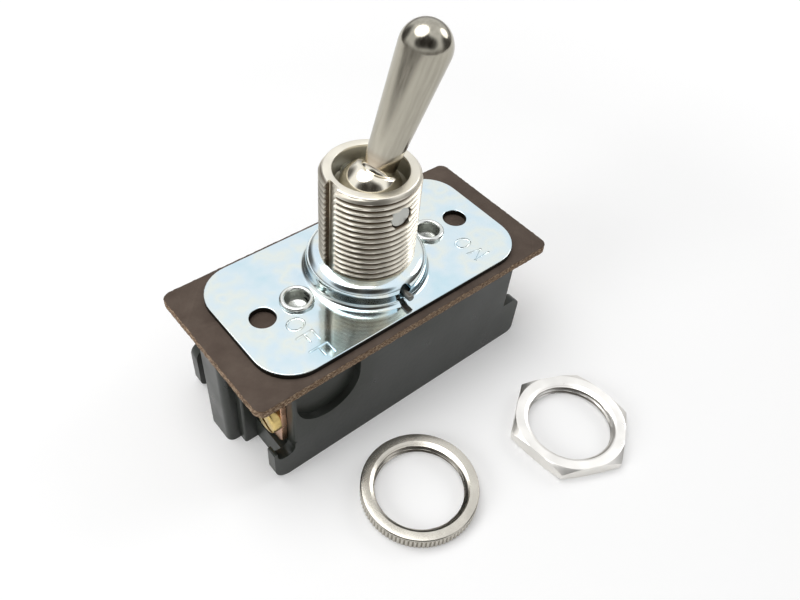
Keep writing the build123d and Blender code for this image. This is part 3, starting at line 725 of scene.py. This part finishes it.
bushing_outline = round_corners([
    (MOUTH_R, THREAD_TOP, 0.12), (TOP_RIM_R, THREAD_TOP, 0.25), (THREAD_R, THREAD_TOP - TOP_CHAMFER, 0.05),
    (THREAD_R, 0, 0), (SEAT_R, 0, 0), (SEAT_R, FLANGE_TOP, 0), (FLANGE_R, FLANGE_TOP, 0.05),
    (FLANGE_R, PLATE_BOTTOM, 0.05), (LOWER_BORE_R, PLATE_BOTTOM, 0), (LOWER_BORE_R, NECK_BOTTOM, 0),
    (NECK_R, NECK_BOTTOM, 0.05), (NECK_R, NECK_TOP, 0.10), (MOUTH_R, MOUTH_FLOOR, 0.10),
], steps=3)


def bushing_density(radius, level):
    """Fine rings on the threaded wall, coarse ones elsewhere."""
    return PITCH / 16 if radius > 5.3 and level > 0 else 2.0


bushing = turn_blank("threaded_bushing", divide_runs(bushing_outline, bushing_density), 176)
# The thread's grooves get painted shade with some tarnish, and the bore gets painted shade.
bushing_finish = nickel("bushing_nickel", (0.87, 0.825, 0.715), 0.29, tarnish_and_shade_top=THREAD_TOP - 0.15, grooves=[
    (THREAD_R - 0.36, THREAD_R - 0.08, 0.40, GROOVE_TARNISH_AND_SHADE), (MOUTH_R, BORE_SHADE_END_R, 0.60, BORE_SHADE_TINT)])
run_tree(bushing, cut_thread, Centre=(0, 0, 0), Pitch=PITCH * MM, Depth=THREAD_DEPTH * MM,
         Crest_Radius=THREAD_R * MM, Side=1.0, Low=0.02 * MM, High=(THREAD_TOP + 1) * MM,
         Finish=bushing_finish)
cut_away(
    bushing,
    block("keyway", (-7.5, -KEYWAY_HALF_WIDTH, FLANGE_TOP),
          (-KEYWAY_FLOOR_R, KEYWAY_HALF_WIDTH, THREAD_TOP + 1)),
    drill("pin_hole", PIN_R, (0, -7, PIVOT_HEIGHT), (0, 7, PIVOT_HEIGHT)),
    drill("pin_mouth_near", PIN_MOUTH_R, (0, -7, PIVOT_HEIGHT), (0, -KEYWAY_FLOOR_R, PIVOT_HEIGHT)),
    drill("pin_mouth_far", PIN_MOUTH_R, (0, 7, PIVOT_HEIGHT), (0, KEYWAY_FLOOR_R, PIVOT_HEIGHT)),
)
settle(bushing, 40, weighted=False)
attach(bushing, "housing")
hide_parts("bushing")
print("bushing", len(bushing.data.polygons), "faces")

# %% [markdown]
# The lever
#
# The lever is turned from one bar: a ball that pivots in the bushing, a waist, and a handle that swells to a
# round end, which gives it its bat shape. The same lathe makes it upright, and its mesh is then leaned over
# about the pivot. Its profile has many short runs along the round end, so that reflections glide over it. The
# ball is polished and the handle has streaks along its length. A brown painted reflection darkens the waist,
# and the handle's tint is darker than the ball's, partly for its duller drawn finish and partly as a painted
# reflection of the dark side of the room.

# %% Turn the lever
LEVER_LEAN = radians(22)
BALL_R = 3.9
BALL_END_R = 2.55
WAIST_R = 1.95
WAIST_HEIGHT = 3.5
WAIST_FILLET_R = 1.2
TIP_R = 3.01
LEVER_REACH = 20.3
LEVER_RUN = 0.9
FINGER_LENGTH = 6.0
FINGER_R = 1.2
FINGER_NECK_R = 0.6
FINGER_ROOT_R = 1.0


def arc(centre, radius, start, end, steps):
    """Points of an arc in the profile's plane, by angles in radians."""
    spots = []
    for step in range(steps + 1):
        angle = start + (end - start) * step / steps
        spots.append((max(0.0, centre[0] + radius * cos(angle)), centre[1] + radius * sin(angle)))
    return spots


tip_centre = LEVER_REACH - TIP_R
reach = hypot(WAIST_R, tip_centre - WAIST_HEIGHT)
meet = atan2(WAIST_HEIGHT - tip_centre, WAIST_R) + acos(TIP_R / reach)
lever_outline = arc((0, -FINGER_LENGTH), FINGER_R, -pi / 2, acos(FINGER_NECK_R / FINGER_R), 16)
ball_end = asin(sqrt(1 - (BALL_END_R / BALL_R) ** 2))
lever_outline += arc((0, 0), BALL_R, -acos(FINGER_ROOT_R / BALL_R), ball_end, 40)
lever_outline += arc((WAIST_R + WAIST_FILLET_R, WAIST_HEIGHT), WAIST_FILLET_R, pi + 0.45, pi - 0.1, 6)
lever_outline += arc((0, tip_centre), TIP_R, meet, pi / 2, 28)


def lever_nickel(name, ball_tint, tint):
    """Polished ball, a brown painted reflection on the waist, and a handle with fine drawn streaks along its
    length.
    """
    material, tree, place = begin_finish(name)
    from_pivot = on_vectors(tree, "SUBTRACT", place, (0, 0, PIVOT_HEIGHT * MM))
    upright = add(tree, "ShaderNodeVectorRotate", {"rotation_type": "Y_AXIS"}, Vector=from_pivot,
                  Angle=-LEVER_LEAN).outputs[0]
    away = on_vectors(tree, "LENGTH", from_pivot)
    handle = scale_range(tree, away, 4.2 * MM, 5.2 * MM, 0, 1)
    streaks = noise(tree, upright, 2400, 4.0, 0.6, (1, 1, 0.05))
    patches = noise(tree, upright, 200, 3.0)
    drawn = ramp(tree, streaks, (0.35, shade(tint, 0.84)), (0.62, tint))
    colour = blend_colours(tree, handle, ball_tint, drawn)
    # Painted reflection: a brown band on the waist, between the ball and the handle.
    painted_waist_reflection = times(tree, scale_range(tree, away, 3.93 * MM, 4.05 * MM, 0, 0.8),
                  scale_range(tree, away, 4.7 * MM, 5.8 * MM, 1, 0))
    colour = blend_colours(tree, painted_waist_reflection, colour, (0.33, 0.27, 0.20))
    satin = plus(tree, scale_range(tree, streaks, 0.35, 0.65, 0.10, 0.18),
                 scale_range(tree, patches, 0.3, 0.7, 0, 0.05))
    end_finish(tree, colour, scale_range(tree, handle, 0, 1, 0.12, satin), 1.0, streaks, 0.0025)
    return material


lever_piece = turn_blank("bat_lever", divide_runs(lever_outline[:-1] + [(0, LEVER_REACH)], LEVER_RUN), 144)
lean = Matrix.Translation((0, 0, PIVOT_HEIGHT * MM)) @ Matrix.Rotation(LEVER_LEAN, 4, "Y")
lever_piece.data.transform(lean)
cut_away(lever_piece, drill("ball_hole", PIN_R + 0.03, (0, -5, PIVOT_HEIGHT), (0, 5, PIVOT_HEIGHT)))
lever_piece.data.materials.clear()
# The handle's tint is darker than the ball's: partly its duller drawn finish, partly a painted reflection.
lever_piece.data.materials.append(lever_nickel("lever_nickel", (0.88, 0.83, 0.71), (0.43, 0.405, 0.34)))
settle(lever_piece, 40)
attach(lever_piece, "lever")
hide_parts("lever")
print("lever", len(lever_piece.data.polygons), "faces")

# %% [markdown]
# The panel nuts
#
# A hexagon nut and a round knurled nut lie beside the switch. Both are turned blanks with the bushing's
# thread in their bores, cut by the same tree with its side turned round. The hexagon's curved chamfers come
# from keeping what a chamfered disc and a six-sided prism share, as a real nut is chamfered on a lathe. The
# round nut's rim has straight teeth, and a second tree presses them in, because each tooth repeats the last.

# %% Helpers for prisms, and the tree that presses teeth
def prism(name, outline, low, high):
    """An upright cutter with the given outline, in millimetres."""
    work = bmesh.new()
    foot = [work.verts.new(Vector((x, y, low)) * MM) for x, y in outline]
    head = [work.verts.new(Vector((x, y, high)) * MM) for x, y in outline]
    work.faces.new(foot)
    work.faces.new(head)
    for step in range(len(outline)):
        after = (step + 1) % len(outline)
        work.faces.new((foot[step], foot[after], head[after], head[step]))
    bmesh.ops.recalc_face_normals(work, faces=work.faces)
    return keep_mesh(name, work)


def teeth_tree():
    """Geometry tree: presses straight teeth into the rim of an upright turned disc."""
    tree, given = begin_tree("press_teeth", Centre="Vector", Count="Float", Depth="Float", Rim_Radius="Float",
                             High="Float")
    parts, across, radius, turns = place_round(tree, given["Centre"])
    wave = calculate(tree, "PINGPONG", times(tree, times(tree, turns, given["Count"]), 2.0), 1.0)
    valley = scale_range(tree, wave, 0.2, 0.95, 0, 1)
    limit = minus(tree, given["Rim Radius"], times(tree, valley, given["Depth"]))
    share = over(tree, calculate(tree, "MINIMUM", radius, limit), radius)
    shift = on_vectors(tree, "SUBTRACT", on_vectors(tree, "SCALE", across, scale=share), across)
    below = calculate(tree, "LESS_THAN", parts["Z"], given["High"])
    moved = add(tree, "GeometryNodeSetPosition", Geometry=given["Geometry"], Selection=below, Offset=shift)
    return end_tree(tree, moved, given["Finish"])


# %% Turn the round nut and press its teeth
NUT_FOOT = floor_height / MM
NUT_HEIGHT = 1.9
NUT_TOP = NUT_FOOT + NUT_HEIGHT
NUT_CREST_R = 5.60
NUT_MOUTH_R = 6.22
NUT_DEPTH = 0.42
MOUTH_DROP = 0.24
# Painted shade with some tarnish in the nuts' threaded bores.
BORE_TARNISH_AND_SHADE = (NUT_CREST_R + 0.36, NUT_CREST_R + 0.04, 0.2, GROOVE_TARNISH_AND_SHADE)
KNURLED_R = 7.4
KNURLED_CENTRE = (-7.86, -21.83)
TEETH = 88
TOOTH_DEPTH = 0.18
# Painted shade in the gaps between the round nut's teeth.
TOOTH_GAP_SHADE = (KNURLED_R - TOOTH_DEPTH, KNURLED_R - 0.03, 0.15, (0.28, 0.25, 0.20))
PLAIN_RIM = 0.28


def nut_density(radius, level):
    """Fine rings in the bore, coarse ones elsewhere."""
    return PITCH / 14 if radius < NUT_MOUTH_R - 0.03 else 1.0


def turn_nut(name, rim, segments, centre, finish):
    """Turn a nut from its rim's points and a countersunk bore, and cut the thread in the bore."""
    bore = [
        (NUT_MOUTH_R, NUT_TOP, 0.05), (NUT_CREST_R, NUT_TOP - MOUTH_DROP, 0),
        (NUT_CREST_R, NUT_FOOT + MOUTH_DROP, 0), (NUT_MOUTH_R, NUT_FOOT, 0.05),
    ]
    nut = turn_blank(name, divide_runs(round_corners(rim + bore, steps=3), nut_density), segments, centre)
    run_tree(nut, cut_thread, Centre=Vector((*centre, NUT_FOOT)) * MM, Pitch=PITCH * MM, Depth=NUT_DEPTH * MM,
             Crest_Radius=NUT_CREST_R * MM, Side=-1.0, Low=-1 * MM, High=3 * MM, Finish=finish)
    return nut


rim_foot = NUT_TOP - PLAIN_RIM
round_rim = [
    (KNURLED_R - 0.20, NUT_FOOT, 0.05), (KNURLED_R, NUT_FOOT + 0.20, 0.05), (KNURLED_R, rim_foot - 0.08, 0),
    (KNURLED_R - 0.10, rim_foot, 0), (KNURLED_R - 0.02, rim_foot + 0.08, 0.02),
    (KNURLED_R - 0.02, NUT_TOP - 0.12, 0.05), (KNURLED_R - 0.14, NUT_TOP, 0.05),
]
knurled_finish = nickel("knurled_nickel", (0.60, 0.57, 0.505), 0.19, [BORE_TARNISH_AND_SHADE, TOOTH_GAP_SHADE], KNURLED_CENTRE,
                        NUT_TOP - 0.1)
knurled = turn_nut("knurled_panel_nut", round_rim, TEETH * 6, KNURLED_CENTRE, knurled_finish)
run_tree(knurled, teeth_tree(), Centre=Vector((*KNURLED_CENTRE, NUT_FOOT)) * MM, Count=float(TEETH),
         Depth=TOOTH_DEPTH * MM, Rim_Radius=KNURLED_R * MM, High=(NUT_HEIGHT - PLAIN_RIM - 0.04) * MM,
         Finish=knurled_finish)
settle(knurled, 38, weighted=False)
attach(knurled, "housing")
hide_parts("knurled_nut")

# %% Turn the hexagon nut and give it six flats
HEX_FLATS = 14.6
HEX_TURN = radians(34.4)
HEX_CENTRE = (14.48, -26.98)
CHAMFER_R = 7.4
hex_corner_r = HEX_FLATS / sqrt(3)
chamfer_drop = (hex_corner_r - CHAMFER_R) * sin(radians(30)) / cos(radians(30))

disc_rim = [
    (CHAMFER_R, NUT_FOOT, 0.15), (hex_corner_r + 0.2, NUT_FOOT + chamfer_drop + 0.1, 0),
    (hex_corner_r + 0.2, NUT_TOP - chamfer_drop - 0.1, 0), (CHAMFER_R, NUT_TOP, 0.15),
]
hex_finish = nickel("hexagon_nickel", (0.87, 0.85, 0.81), 0.28, [BORE_TARNISH_AND_SHADE], HEX_CENTRE, NUT_TOP - 0.1)
hexagon = turn_nut("hexagon_panel_nut", disc_rim, 240, HEX_CENTRE, hex_finish)
hex_points = [(HEX_CENTRE[0] + hex_corner_r * cos(HEX_TURN + step * pi / 3),
               HEX_CENTRE[1] + hex_corner_r * sin(HEX_TURN + step * pi / 3), 0.25) for step in range(6)]
six_flats = prism("six_flats", round_corners(hex_points, steps=4), NUT_FOOT - 1, NUT_TOP + 1)
cut_away(hexagon, six_flats, way="INTERSECT")
settle(hexagon, 30, weighted=True)
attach(hexagon, "housing")
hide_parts("hex_nut")
print("nuts", len(knurled.data.polygons), len(hexagon.data.polygons), "faces")

# %% [markdown]
# The mounting plate
#
# One flat sheet is drawn up into a dome round the bushing, pierced, and stamped with ON and OFF. Cutting the
# holes out of a solid sheet with booleans would leave crude edges, so the sheet is made the way a press does
# it: its outline, its holes and the dome's rings are loops of points, each edge rolls over in a few steps,
# and the flat in between is filled. The words are pressed in last.

# %% Loops of points for sheet metal
PLATE_HALF_LENGTH = 19.6
PLATE_HALF_WIDTH = 9.75
PLATE_CORNER_R = 5.0
SHEAR_EDGE = 0.10
MOUNT_HOLE_X = 15.33
MOUNT_HOLE_R = 1.6
RIVET_X = 10.5
RIVET_HOLE_R = 1.75
DOME_RING = 120


def rounded_rectangle(half_x, half_y, radius, steps=12):
    """Points round a rectangle with round corners, anticlockwise."""
    spots = []
    for corner, (side_x, side_y) in enumerate(((1, 1), (-1, 1), (-1, -1), (1, -1))):
        middle = (side_x * (half_x - radius), side_y * (half_y - radius))
        for step in range(steps + 1):
            angle = pi / 2 * (corner + step / steps)
            spots.append((middle[0] + radius * cos(angle), middle[1] + radius * sin(angle)))
    return spots


def oval(middle_x, middle_y, half_x, half_y, count=48):
    """Points round a circle or an oval, anticlockwise."""
    angles = [2 * pi * step / count for step in range(count)]
    return [(middle_x + half_x * cos(angle), middle_y + half_y * sin(angle)) for angle in angles]


def edge_levels(top, bottom, roll):
    """(inset, height) steps of a sheared edge: rolled over above, crisp below."""
    angles = [pi / 2 * step / 4 for step in range(5)]
    steps = [(roll * (1 - sin(angle)), top - roll * (1 - cos(angle))) for angle in angles]
    return steps + [(0.0, bottom + 0.04), (0.04, bottom)]


def make_sheet(name, outline_at, holes_at, levels, chain=None):
    """A closed sheet. Functions give its loops for an inset, and chain is a dome's (radius, height) line."""
    work = bmesh.new()

    def loop(spots, level):
        return [work.verts.new(Vector((x, y, level)) * MM) for x, y in spots]

    def stitch(first, second):
        for step in range(len(first)):
            after = (step + 1) % len(first)
            work.faces.new((first[step], first[after], second[after], second[step]))

    upper, lower = [], []
    for loop_at in [outline_at, *holes_at]:
        stacks = [[loop(loop_at(inset), level) for inset, level in levels]]
        if chain and loop_at is outline_at:
            stacks.append([loop(oval(0, 0, radius, radius, DOME_RING), level) for radius, level in chain])
        for rings in stacks:
            for first, second in zip(rings, rings[1:]):
                stitch(first, second)
            upper.append(rings[0])
            lower.append(rings[-1])
    for loops in (upper, lower):
        pairs = [(ring[step], ring[(step + 1) % len(ring)]) for ring in loops for step in range(len(ring))]
        edges = [work.edges.get(pair) for pair in pairs]
        bmesh.ops.triangle_fill(work, use_beauty=True, edges=edges, normal=(0, 0, 1))
    bmesh.ops.recalc_face_normals(work, faces=work.faces)
    return keep_mesh(name, work)


# %% Draw, pierce and slot the plate
DOME_WALL_R = 7.6
DOME_FOOT = 9.2
DOME_MOUTH_R = 5.75
DOME_TIN_BOTTOM = -0.8
FLANGE_ROOM_R = 6.65
KEY_TAB_INNER_R = 5.103
KEY_TAB_HALF_WIDTH = 0.85
WINDOW_HEIGHT = -1.5
WINDOW_R = 0.92

dome_line = round_corners([
    (DOME_FOOT, PLATE_TOP, 0), (DOME_WALL_R, PLATE_TOP, 0.8), (DOME_WALL_R, -0.50, 1.4),
    (DOME_MOUTH_R, 0, 0.1), (DOME_MOUTH_R, DOME_TIN_BOTTOM, 0), (FLANGE_ROOM_R, DOME_TIN_BOTTOM, 0),
    (FLANGE_ROOM_R, PLATE_BOTTOM, 0.2), (DOME_FOOT, PLATE_BOTTOM, 0),
], steps=8)


def plate_outline(inset):
    """The plate's outline, moved inwards by an inset."""
    return rounded_rectangle(PLATE_HALF_LENGTH - inset, PLATE_HALF_WIDTH - inset, PLATE_CORNER_R - inset)


def round_hole(x, radius):
    """A hole on the long centre line, whose loop widens with an inset."""
    return lambda inset: oval(x, 0, radius + inset, radius + inset)


rivet_holes = [round_hole(side * RIVET_X, RIVET_HOLE_R) for side in (-1, 1)]
plate_holes = [round_hole(side * MOUNT_HOLE_X, MOUNT_HOLE_R) for side in (-1, 1)] + rivet_holes
plate_levels = edge_levels(PLATE_TOP, PLATE_BOTTOM, SHEAR_EDGE)
plate = make_sheet("zinc_mounting_plate", plate_outline, plate_holes, plate_levels, dome_line)
cut_away(
    plate,
    drill("index_window", WINDOW_R, (0, -8.5, WINDOW_HEIGHT), (0, -6.7, WINDOW_HEIGHT), 40),
    block("index_slot", (-0.95, -9.45, PLATE_BOTTOM - 0.5), (-0.25, -DOME_WALL_R, PLATE_TOP + 0.8)),
)
cut_away(plate, block("key_tab", (-THREAD_R, -KEY_TAB_HALF_WIDTH, DOME_TIN_BOTTOM),
                      (-KEY_TAB_INNER_R, KEY_TAB_HALF_WIDTH, -0.02)), way="UNION")

# %% [markdown]
# The stamped words
#
# OFF and ON are pressed into the plate by blunt chisel-like strokes with round ends. Blender's text could
# give the letters, but its strokes are flat shapes with varying width. A geometry tree sweeps a round punch
# along each stroke's middle line and puts a ball at each point, and that shape is pressed into the plate.

# %% Press the words into the plate
STROKE_R = 0.19
STROKE_RISE = 0.07


def ring_stroke(x, y, half_x, half_y):
    """A closed oval stroke."""
    spots = oval(x, y, half_x, half_y, 28)
    return spots + spots[:1]


strokes = [
    ring_stroke(-12.85, -3.12, 1.05, 0.88),
    [(-13.98, -5.02), (-11.82, -4.93)], [(-11.82, -4.93), (-11.84, -6.52)],
    [(-12.92, -4.97), (-12.95, -6.21)], [(-13.88, -7.45), (-11.48, -7.41)],
    [(-11.48, -7.41), (-11.50, -9.05)], [(-12.65, -7.43), (-12.68, -8.81)],
    ring_stroke(12.76, -4.40, 1.05, 0.80),
    [(11.86, -6.24), (13.92, -6.55), (11.94, -7.67), (14.39, -7.59)],
]


def stroke_tree():
    """Geometry tree: a round punch swept along every stroke, with a ball at every point."""
    tree, given = begin_tree("stamp_strokes", Punch_Radius="Float")
    lines = add(tree, "GeometryNodeMeshToCurve", Mesh=given["Geometry"]).outputs[0]
    radius = given["Punch Radius"]
    punch = add(tree, "GeometryNodeCurvePrimitiveCircle", Resolution=12, Radius=radius).outputs[0]
    swept = add(tree, "GeometryNodeCurveToMesh", Curve=lines, Profile_Curve=punch, Fill_Caps=True).outputs[0]
    ball = add(tree, "GeometryNodeMeshUVSphere", Segments=12, Rings=8, Radius=radius).outputs[0]
    balls = add(tree, "GeometryNodeInstanceOnPoints", Points=given["Geometry"], Instance=ball).outputs[0]
    both = add(tree, "GeometryNodeJoinGeometry")
    tree.links.new(swept, both.inputs[0])
    tree.links.new(balls, both.inputs[0])
    return end_tree(tree, both, given["Finish"])


stroke_points, stroke_edges = [], []
for stroke in strokes:
    start = len(stroke_points)
    stroke_points += [Vector((x, y, PLATE_TOP + STROKE_RISE)) * MM for x, y in stroke]
    stroke_edges += [(start + step, start + step + 1) for step in range(len(stroke) - 1)]
stroke_mesh = bpy.data.meshes.new("strokes")
stroke_mesh.from_pydata(stroke_points, stroke_edges, [])
punches = put_in_scene("strokes", stroke_mesh)
run_tree(punches, stroke_tree(), Punch_Radius=STROKE_R * MM, Finish=finish_of_slot["zinc_plate"])
plate.data.materials.append(finish_of_slot["zinc_plate"])
cut_away(plate, punches, selfish=True)
settle(plate, 32, weighted=True)
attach(plate, "housing")
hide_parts("mounting_plate")
print("plate", len(plate.data.polygons), "faces")

# %% [markdown]
# The fibre insulator
#
# The sheet under the plate is vulcanised fibre, which is layers of paper pressed together. A punch tears its
# edges instead of shearing them, so the sides are ragged and shed pale fibres. The sheet is made like the
# plate, with more points along its outline, and a geometry tree pushes the points of its sides in and out by
# a noise that is finer through the layers than along the edge.

# %% Punch and fray the fibre sheet
FIBRE_HALF_LENGTH = 22.9
FIBRE_HALF_WIDTH = 10.75
FIBRE_CORNER_R = 1.2
FIBRE_BOTTOM = -5.0
FIBRE_RUN = 0.25
FRAY = 0.30
FRAY_MIDDLE = 0.56
STEM_HOLE_R = 4.42


def fray_tree():
    """Geometry tree: pushes the points of upright sides along their normals by a noise."""
    tree, given = begin_tree("fray_edge", Fray="Float", Grains_Per_Metre="Float")
    place = add(tree, "GeometryNodeInputPosition").outputs[0]
    normal = add(tree, "GeometryNodeInputNormal").outputs[0]
    layered = on_vectors(tree, "MULTIPLY", place, (1, 1, 2.2))
    torn = noise(tree, layered, given["Grains Per Metre"], 2.0, 0.6)
    push = times(tree, minus(tree, torn, FRAY_MIDDLE), given["Fray"])
    shift = on_vectors(tree, "SCALE", on_vectors(tree, "MULTIPLY", normal, (1, 1, 0)), scale=push)
    moved = add(tree, "GeometryNodeSetPosition", Geometry=given["Geometry"], Offset=shift)
    return end_tree(tree, moved, given["Finish"])


def fibre_outline(inset):
    """The sheet's outline with many points, so that its edge can tear."""
    rough = rounded_rectangle(FIBRE_HALF_LENGTH - inset, FIBRE_HALF_WIDTH - inset, FIBRE_CORNER_R - inset,
                              steps=8)
    return divide_runs(rough, FIBRE_RUN)


fibre_levels = [(0.09, PLATE_BOTTOM), (0.02, PLATE_BOTTOM - 0.05)]
fibre_levels += [(0.0, PLATE_BOTTOM - step) for step in (0.16, 0.34, 0.52, 0.70, 0.88, 1.04)]
fibre_levels += [(0.02, FIBRE_BOTTOM + 0.05), (0.09, FIBRE_BOTTOM)]
fibre_holes = rivet_holes + [round_hole(0, STEM_HOLE_R)]
fibre = make_sheet("torn_fibre_sheet", fibre_outline, fibre_holes, fibre_levels)
run_tree(fibre, fray_tree(), Fray=FRAY * MM, Grains_Per_Metre=1700.0,
         Finish=finish_of_slot["vulcanised_fibre"])
settle(fibre, 50, weighted=False)
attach(fibre, "housing")
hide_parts("fibre_insulator")

# %% [markdown]
# Rivets and terminal screws
#
# Two hollow rivets hold the plate, the fibre and the base together: their upper ends are rolled over like an
# eyelet. The terminal screws have low round heads with one slot. All are turned, so the lathe makes them.
# Each profile is spun upright, and a screw is then laid over towards its end of the base.

# %% Turn the rivets
ENDS = (("off", -1), ("on", 1))
SIDES = (("front", -1), ("back", 1))
RIVET_SHANK_R = 1.75
RIVET_BORE_R = 1.45
RIVET_ROLL_R = 2.15
RIVET_ROLL_TOP = -2.5
RIVET_BORE_FLOOR = -4.3
RIVET_HEAD_R = 2.75
RIVET_HEAD_BOTTOM = -20.65
RIVET_HEAD_TOP = RIVET_HEAD_BOTTOM + 1
# Painted shade on the inner wall of each rivet's eye.
EYE_SHADE = (1.42, 1.60, 0.2, (0.40, 0.41, 0.38))

rivet_outline = round_corners([
    (0, RIVET_HEAD_BOTTOM, 0), (RIVET_HEAD_R, RIVET_HEAD_BOTTOM, 0.40), (RIVET_HEAD_R, RIVET_HEAD_TOP, 0.05),
    (RIVET_SHANK_R, RIVET_HEAD_TOP, 0.05), (RIVET_SHANK_R, PLATE_TOP, 0), (RIVET_ROLL_R, PLATE_TOP, 0.05),
    (RIVET_ROLL_R, RIVET_ROLL_TOP, 0.34), (RIVET_BORE_R, RIVET_ROLL_TOP, 0.30),
    (RIVET_BORE_R, RIVET_BORE_FLOOR, 0.35), (0, RIVET_BORE_FLOOR - 0.3, 0),
], steps=6)
for end_name, end in ENDS:
    middle = (end * RIVET_X, 0)
    rivet = turn_blank(f"{end_name}_end_rivet", rivet_outline, 96, middle)
    rivet_finish = nickel(f"{end_name}_rivet_nickel", (0.78, 0.80, 0.77), 0.18, [EYE_SHADE], middle,
                          RIVET_ROLL_TOP - 0.25)
    rivet.data.materials.append(rivet_finish)
    settle(rivet, 40, weighted=False)
    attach(rivet, "housing")
    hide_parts(f"rivet_{end_name}_end")
print("rivet", len(rivet.data.polygons), "faces")

# %% Turn the terminal screws
SCREW_SEAT_X = 18.7
SCREW_Y = 6.3
SCREW_Z = -12.3
SCREW_HEAD_R = 2.1
SCREW_HEAD_HEIGHT = 1.3
SCREW_SHANK_R = 1.4
SCREW_LENGTH = 3.0
SLOT_HALF_WIDTH = 0.35
SLOT_DEPTH = 0.6
SLOT_ANGLES = {"off_front": 58, "off_back": -20, "on_front": 12, "on_back": 75}

screw_outline = round_corners([
    (0, -SCREW_LENGTH, 0), (SCREW_SHANK_R, -SCREW_LENGTH, 0.2), (SCREW_SHANK_R, 0, 0),
    (SCREW_HEAD_R, 0, 0.08), (SCREW_HEAD_R, SCREW_HEAD_HEIGHT - 0.2, 0.25),
    (1.5, SCREW_HEAD_HEIGHT - 0.03, 0.8), (0, SCREW_HEAD_HEIGHT, 0),
], steps=6)
for end_name, end in ENDS:
    for side_name, side in SIDES:
        corner_name = f"{end_name}_{side_name}"
        screw = turn_blank(f"{corner_name}_binding_screw", screw_outline, 72)
        cut_away(screw, block("slot", (-3, -SLOT_HALF_WIDTH, SCREW_HEAD_HEIGHT - SLOT_DEPTH),
                              (3, SLOT_HALF_WIDTH, SCREW_HEAD_HEIGHT + 0.5)))
        screw.data.transform(Matrix.Rotation(radians(SLOT_ANGLES[corner_name]), 4, "Z"))
        seat = Vector((end * SCREW_SEAT_X, side * SCREW_Y, SCREW_Z)) * MM
        screw.data.transform(Matrix.Translation(seat) @ Matrix.Rotation(end * pi / 2, 4, "Y"))
        screw.data.materials.append(finish_of_slot["brass"])
        settle(screw, 40, weighted=False)
        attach(screw, "housing")
        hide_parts(f"{end_name}_{side_name}_screw")
print("screw", len(screw.data.polygons), "faces")

# %% [markdown]
# The moulded base and the bent strips
#
# The base's shape is right in the solid, but a moulding has no knife edges. The same holds for the strips,
# whose rolled edges catch the light. Their meshes are copied, the double points are merged, the flat faces
# are joined again and every edge gets a small bevel.

# %% Soften the base and the terminals
def soften(node, name, body, width, steps=2):
    """A copy of a frame node with a small radius on every edge."""
    work = bmesh.new()
    work.from_mesh(nodes[node].data)
    bmesh.ops.remove_doubles(work, verts=work.verts, dist=1e-6)
    bmesh.ops.dissolve_limit(work, angle_limit=radians(1), verts=work.verts, edges=work.edges)
    piece = keep_mesh(name, work)
    piece.data.materials.append(finish_of_slot[slot_of_node[node]])
    bevel = piece.modifiers.new("edges", "BEVEL")
    bevel.limit_method = "ANGLE"
    bevel.angle_limit = radians(32)
    bevel.width = width * MM
    bevel.segments = steps
    bevel.use_clamp_overlap = True
    flatten(piece)
    settle(piece, 40)
    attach(piece, body)
    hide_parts(node)
    print(name, len(piece.data.polygons), "faces")


soften("base", "moulded_base", "housing", 0.14)
for end_name, end in ENDS:
    for side_name, side in SIDES:
        soften(f"{end_name}_{side_name}_terminal", f"{end_name}_{side_name}_strip", "housing", 0.08)

# %% [markdown]
# The plunger's spring
#
# Under the lever's finger, inside the rocker's stem, a small spring lifts a plunger. It is one wire wound at
# an even pitch, so a tree winds it: a spiral with a round section. When the plunger goes down, the spring
# shortens towards its foot.

# %% Wind the spring
HINGE_HEIGHT = -13.0
FINGER_GAP = 0.05
PLUNGER_LENGTH = 2.2
SPRING_ROOM = 4.6
SPRING_LENGTH = 4.5
SPRING_TURNS = 6.0
WIRE_R = 0.15
COIL_R = 1.10
SEAT_GAP = 0.05
finger_height = PIVOT_HEIGHT - FINGER_LENGTH * cos(LEVER_LEAN) - HINGE_HEIGHT
rocker_lean = atan2(FINGER_LENGTH * sin(LEVER_LEAN), finger_height)
plunger_top = PIVOT_HEIGHT - FINGER_LENGTH - HINGE_HEIGHT - FINGER_R - FINGER_GAP
spring_foot = plunger_top - PLUNGER_LENGTH - SPRING_ROOM


def spring_tree():
    """Geometry tree: a wire wound in an even coil that stands on the origin."""
    tree, given = begin_tree("wind_spring", Turns="Float", Coil_Radius="Float", Wire_Radius="Float",
                             Height="Float")
    coil, wire_radius = given["Coil Radius"], given["Wire Radius"]
    line = add(tree, "GeometryNodeCurveSpiral", Resolution=32, Rotations=given["Turns"],
               Height=given["Height"], Start_Radius=coil, End_Radius=coil).outputs[0]
    section = add(tree, "GeometryNodeCurvePrimitiveCircle", Resolution=10, Radius=wire_radius).outputs[0]
    wire = add(tree, "GeometryNodeCurveToMesh", Curve=line, Profile_Curve=section, Fill_Caps=True)
    return end_tree(tree, wire, given["Finish"])


spring = put_in_scene("plunger_coil", bpy.data.meshes.new("plunger_coil"))
run_tree(spring, spring_tree(), Turns=SPRING_TURNS, Coil_Radius=COIL_R * MM, Wire_Radius=WIRE_R * MM,
         Height=(SPRING_LENGTH - 2 * WIRE_R) * MM, Finish=finish_of_slot["spring_steel"])
stem = Matrix.Translation((0, 0, HINGE_HEIGHT * MM)) @ Matrix.Rotation(-rocker_lean, 4, "Y")
spring.data.transform(stem @ Matrix.Translation((0, 0, (spring_foot + SEAT_GAP + WIRE_R) * MM)))
settle(spring, 60, weighted=False)
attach(spring, "rocker")
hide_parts("plunger_spring")
spring_anchor = stem @ Vector((0, 0, spring_foot * MM))
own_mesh(spring)
foot_in_mm = [round(value / MM, 2) for value in spring_anchor]
print("spring", len(spring.data.polygons), "faces, foot at", foot_in_mm)
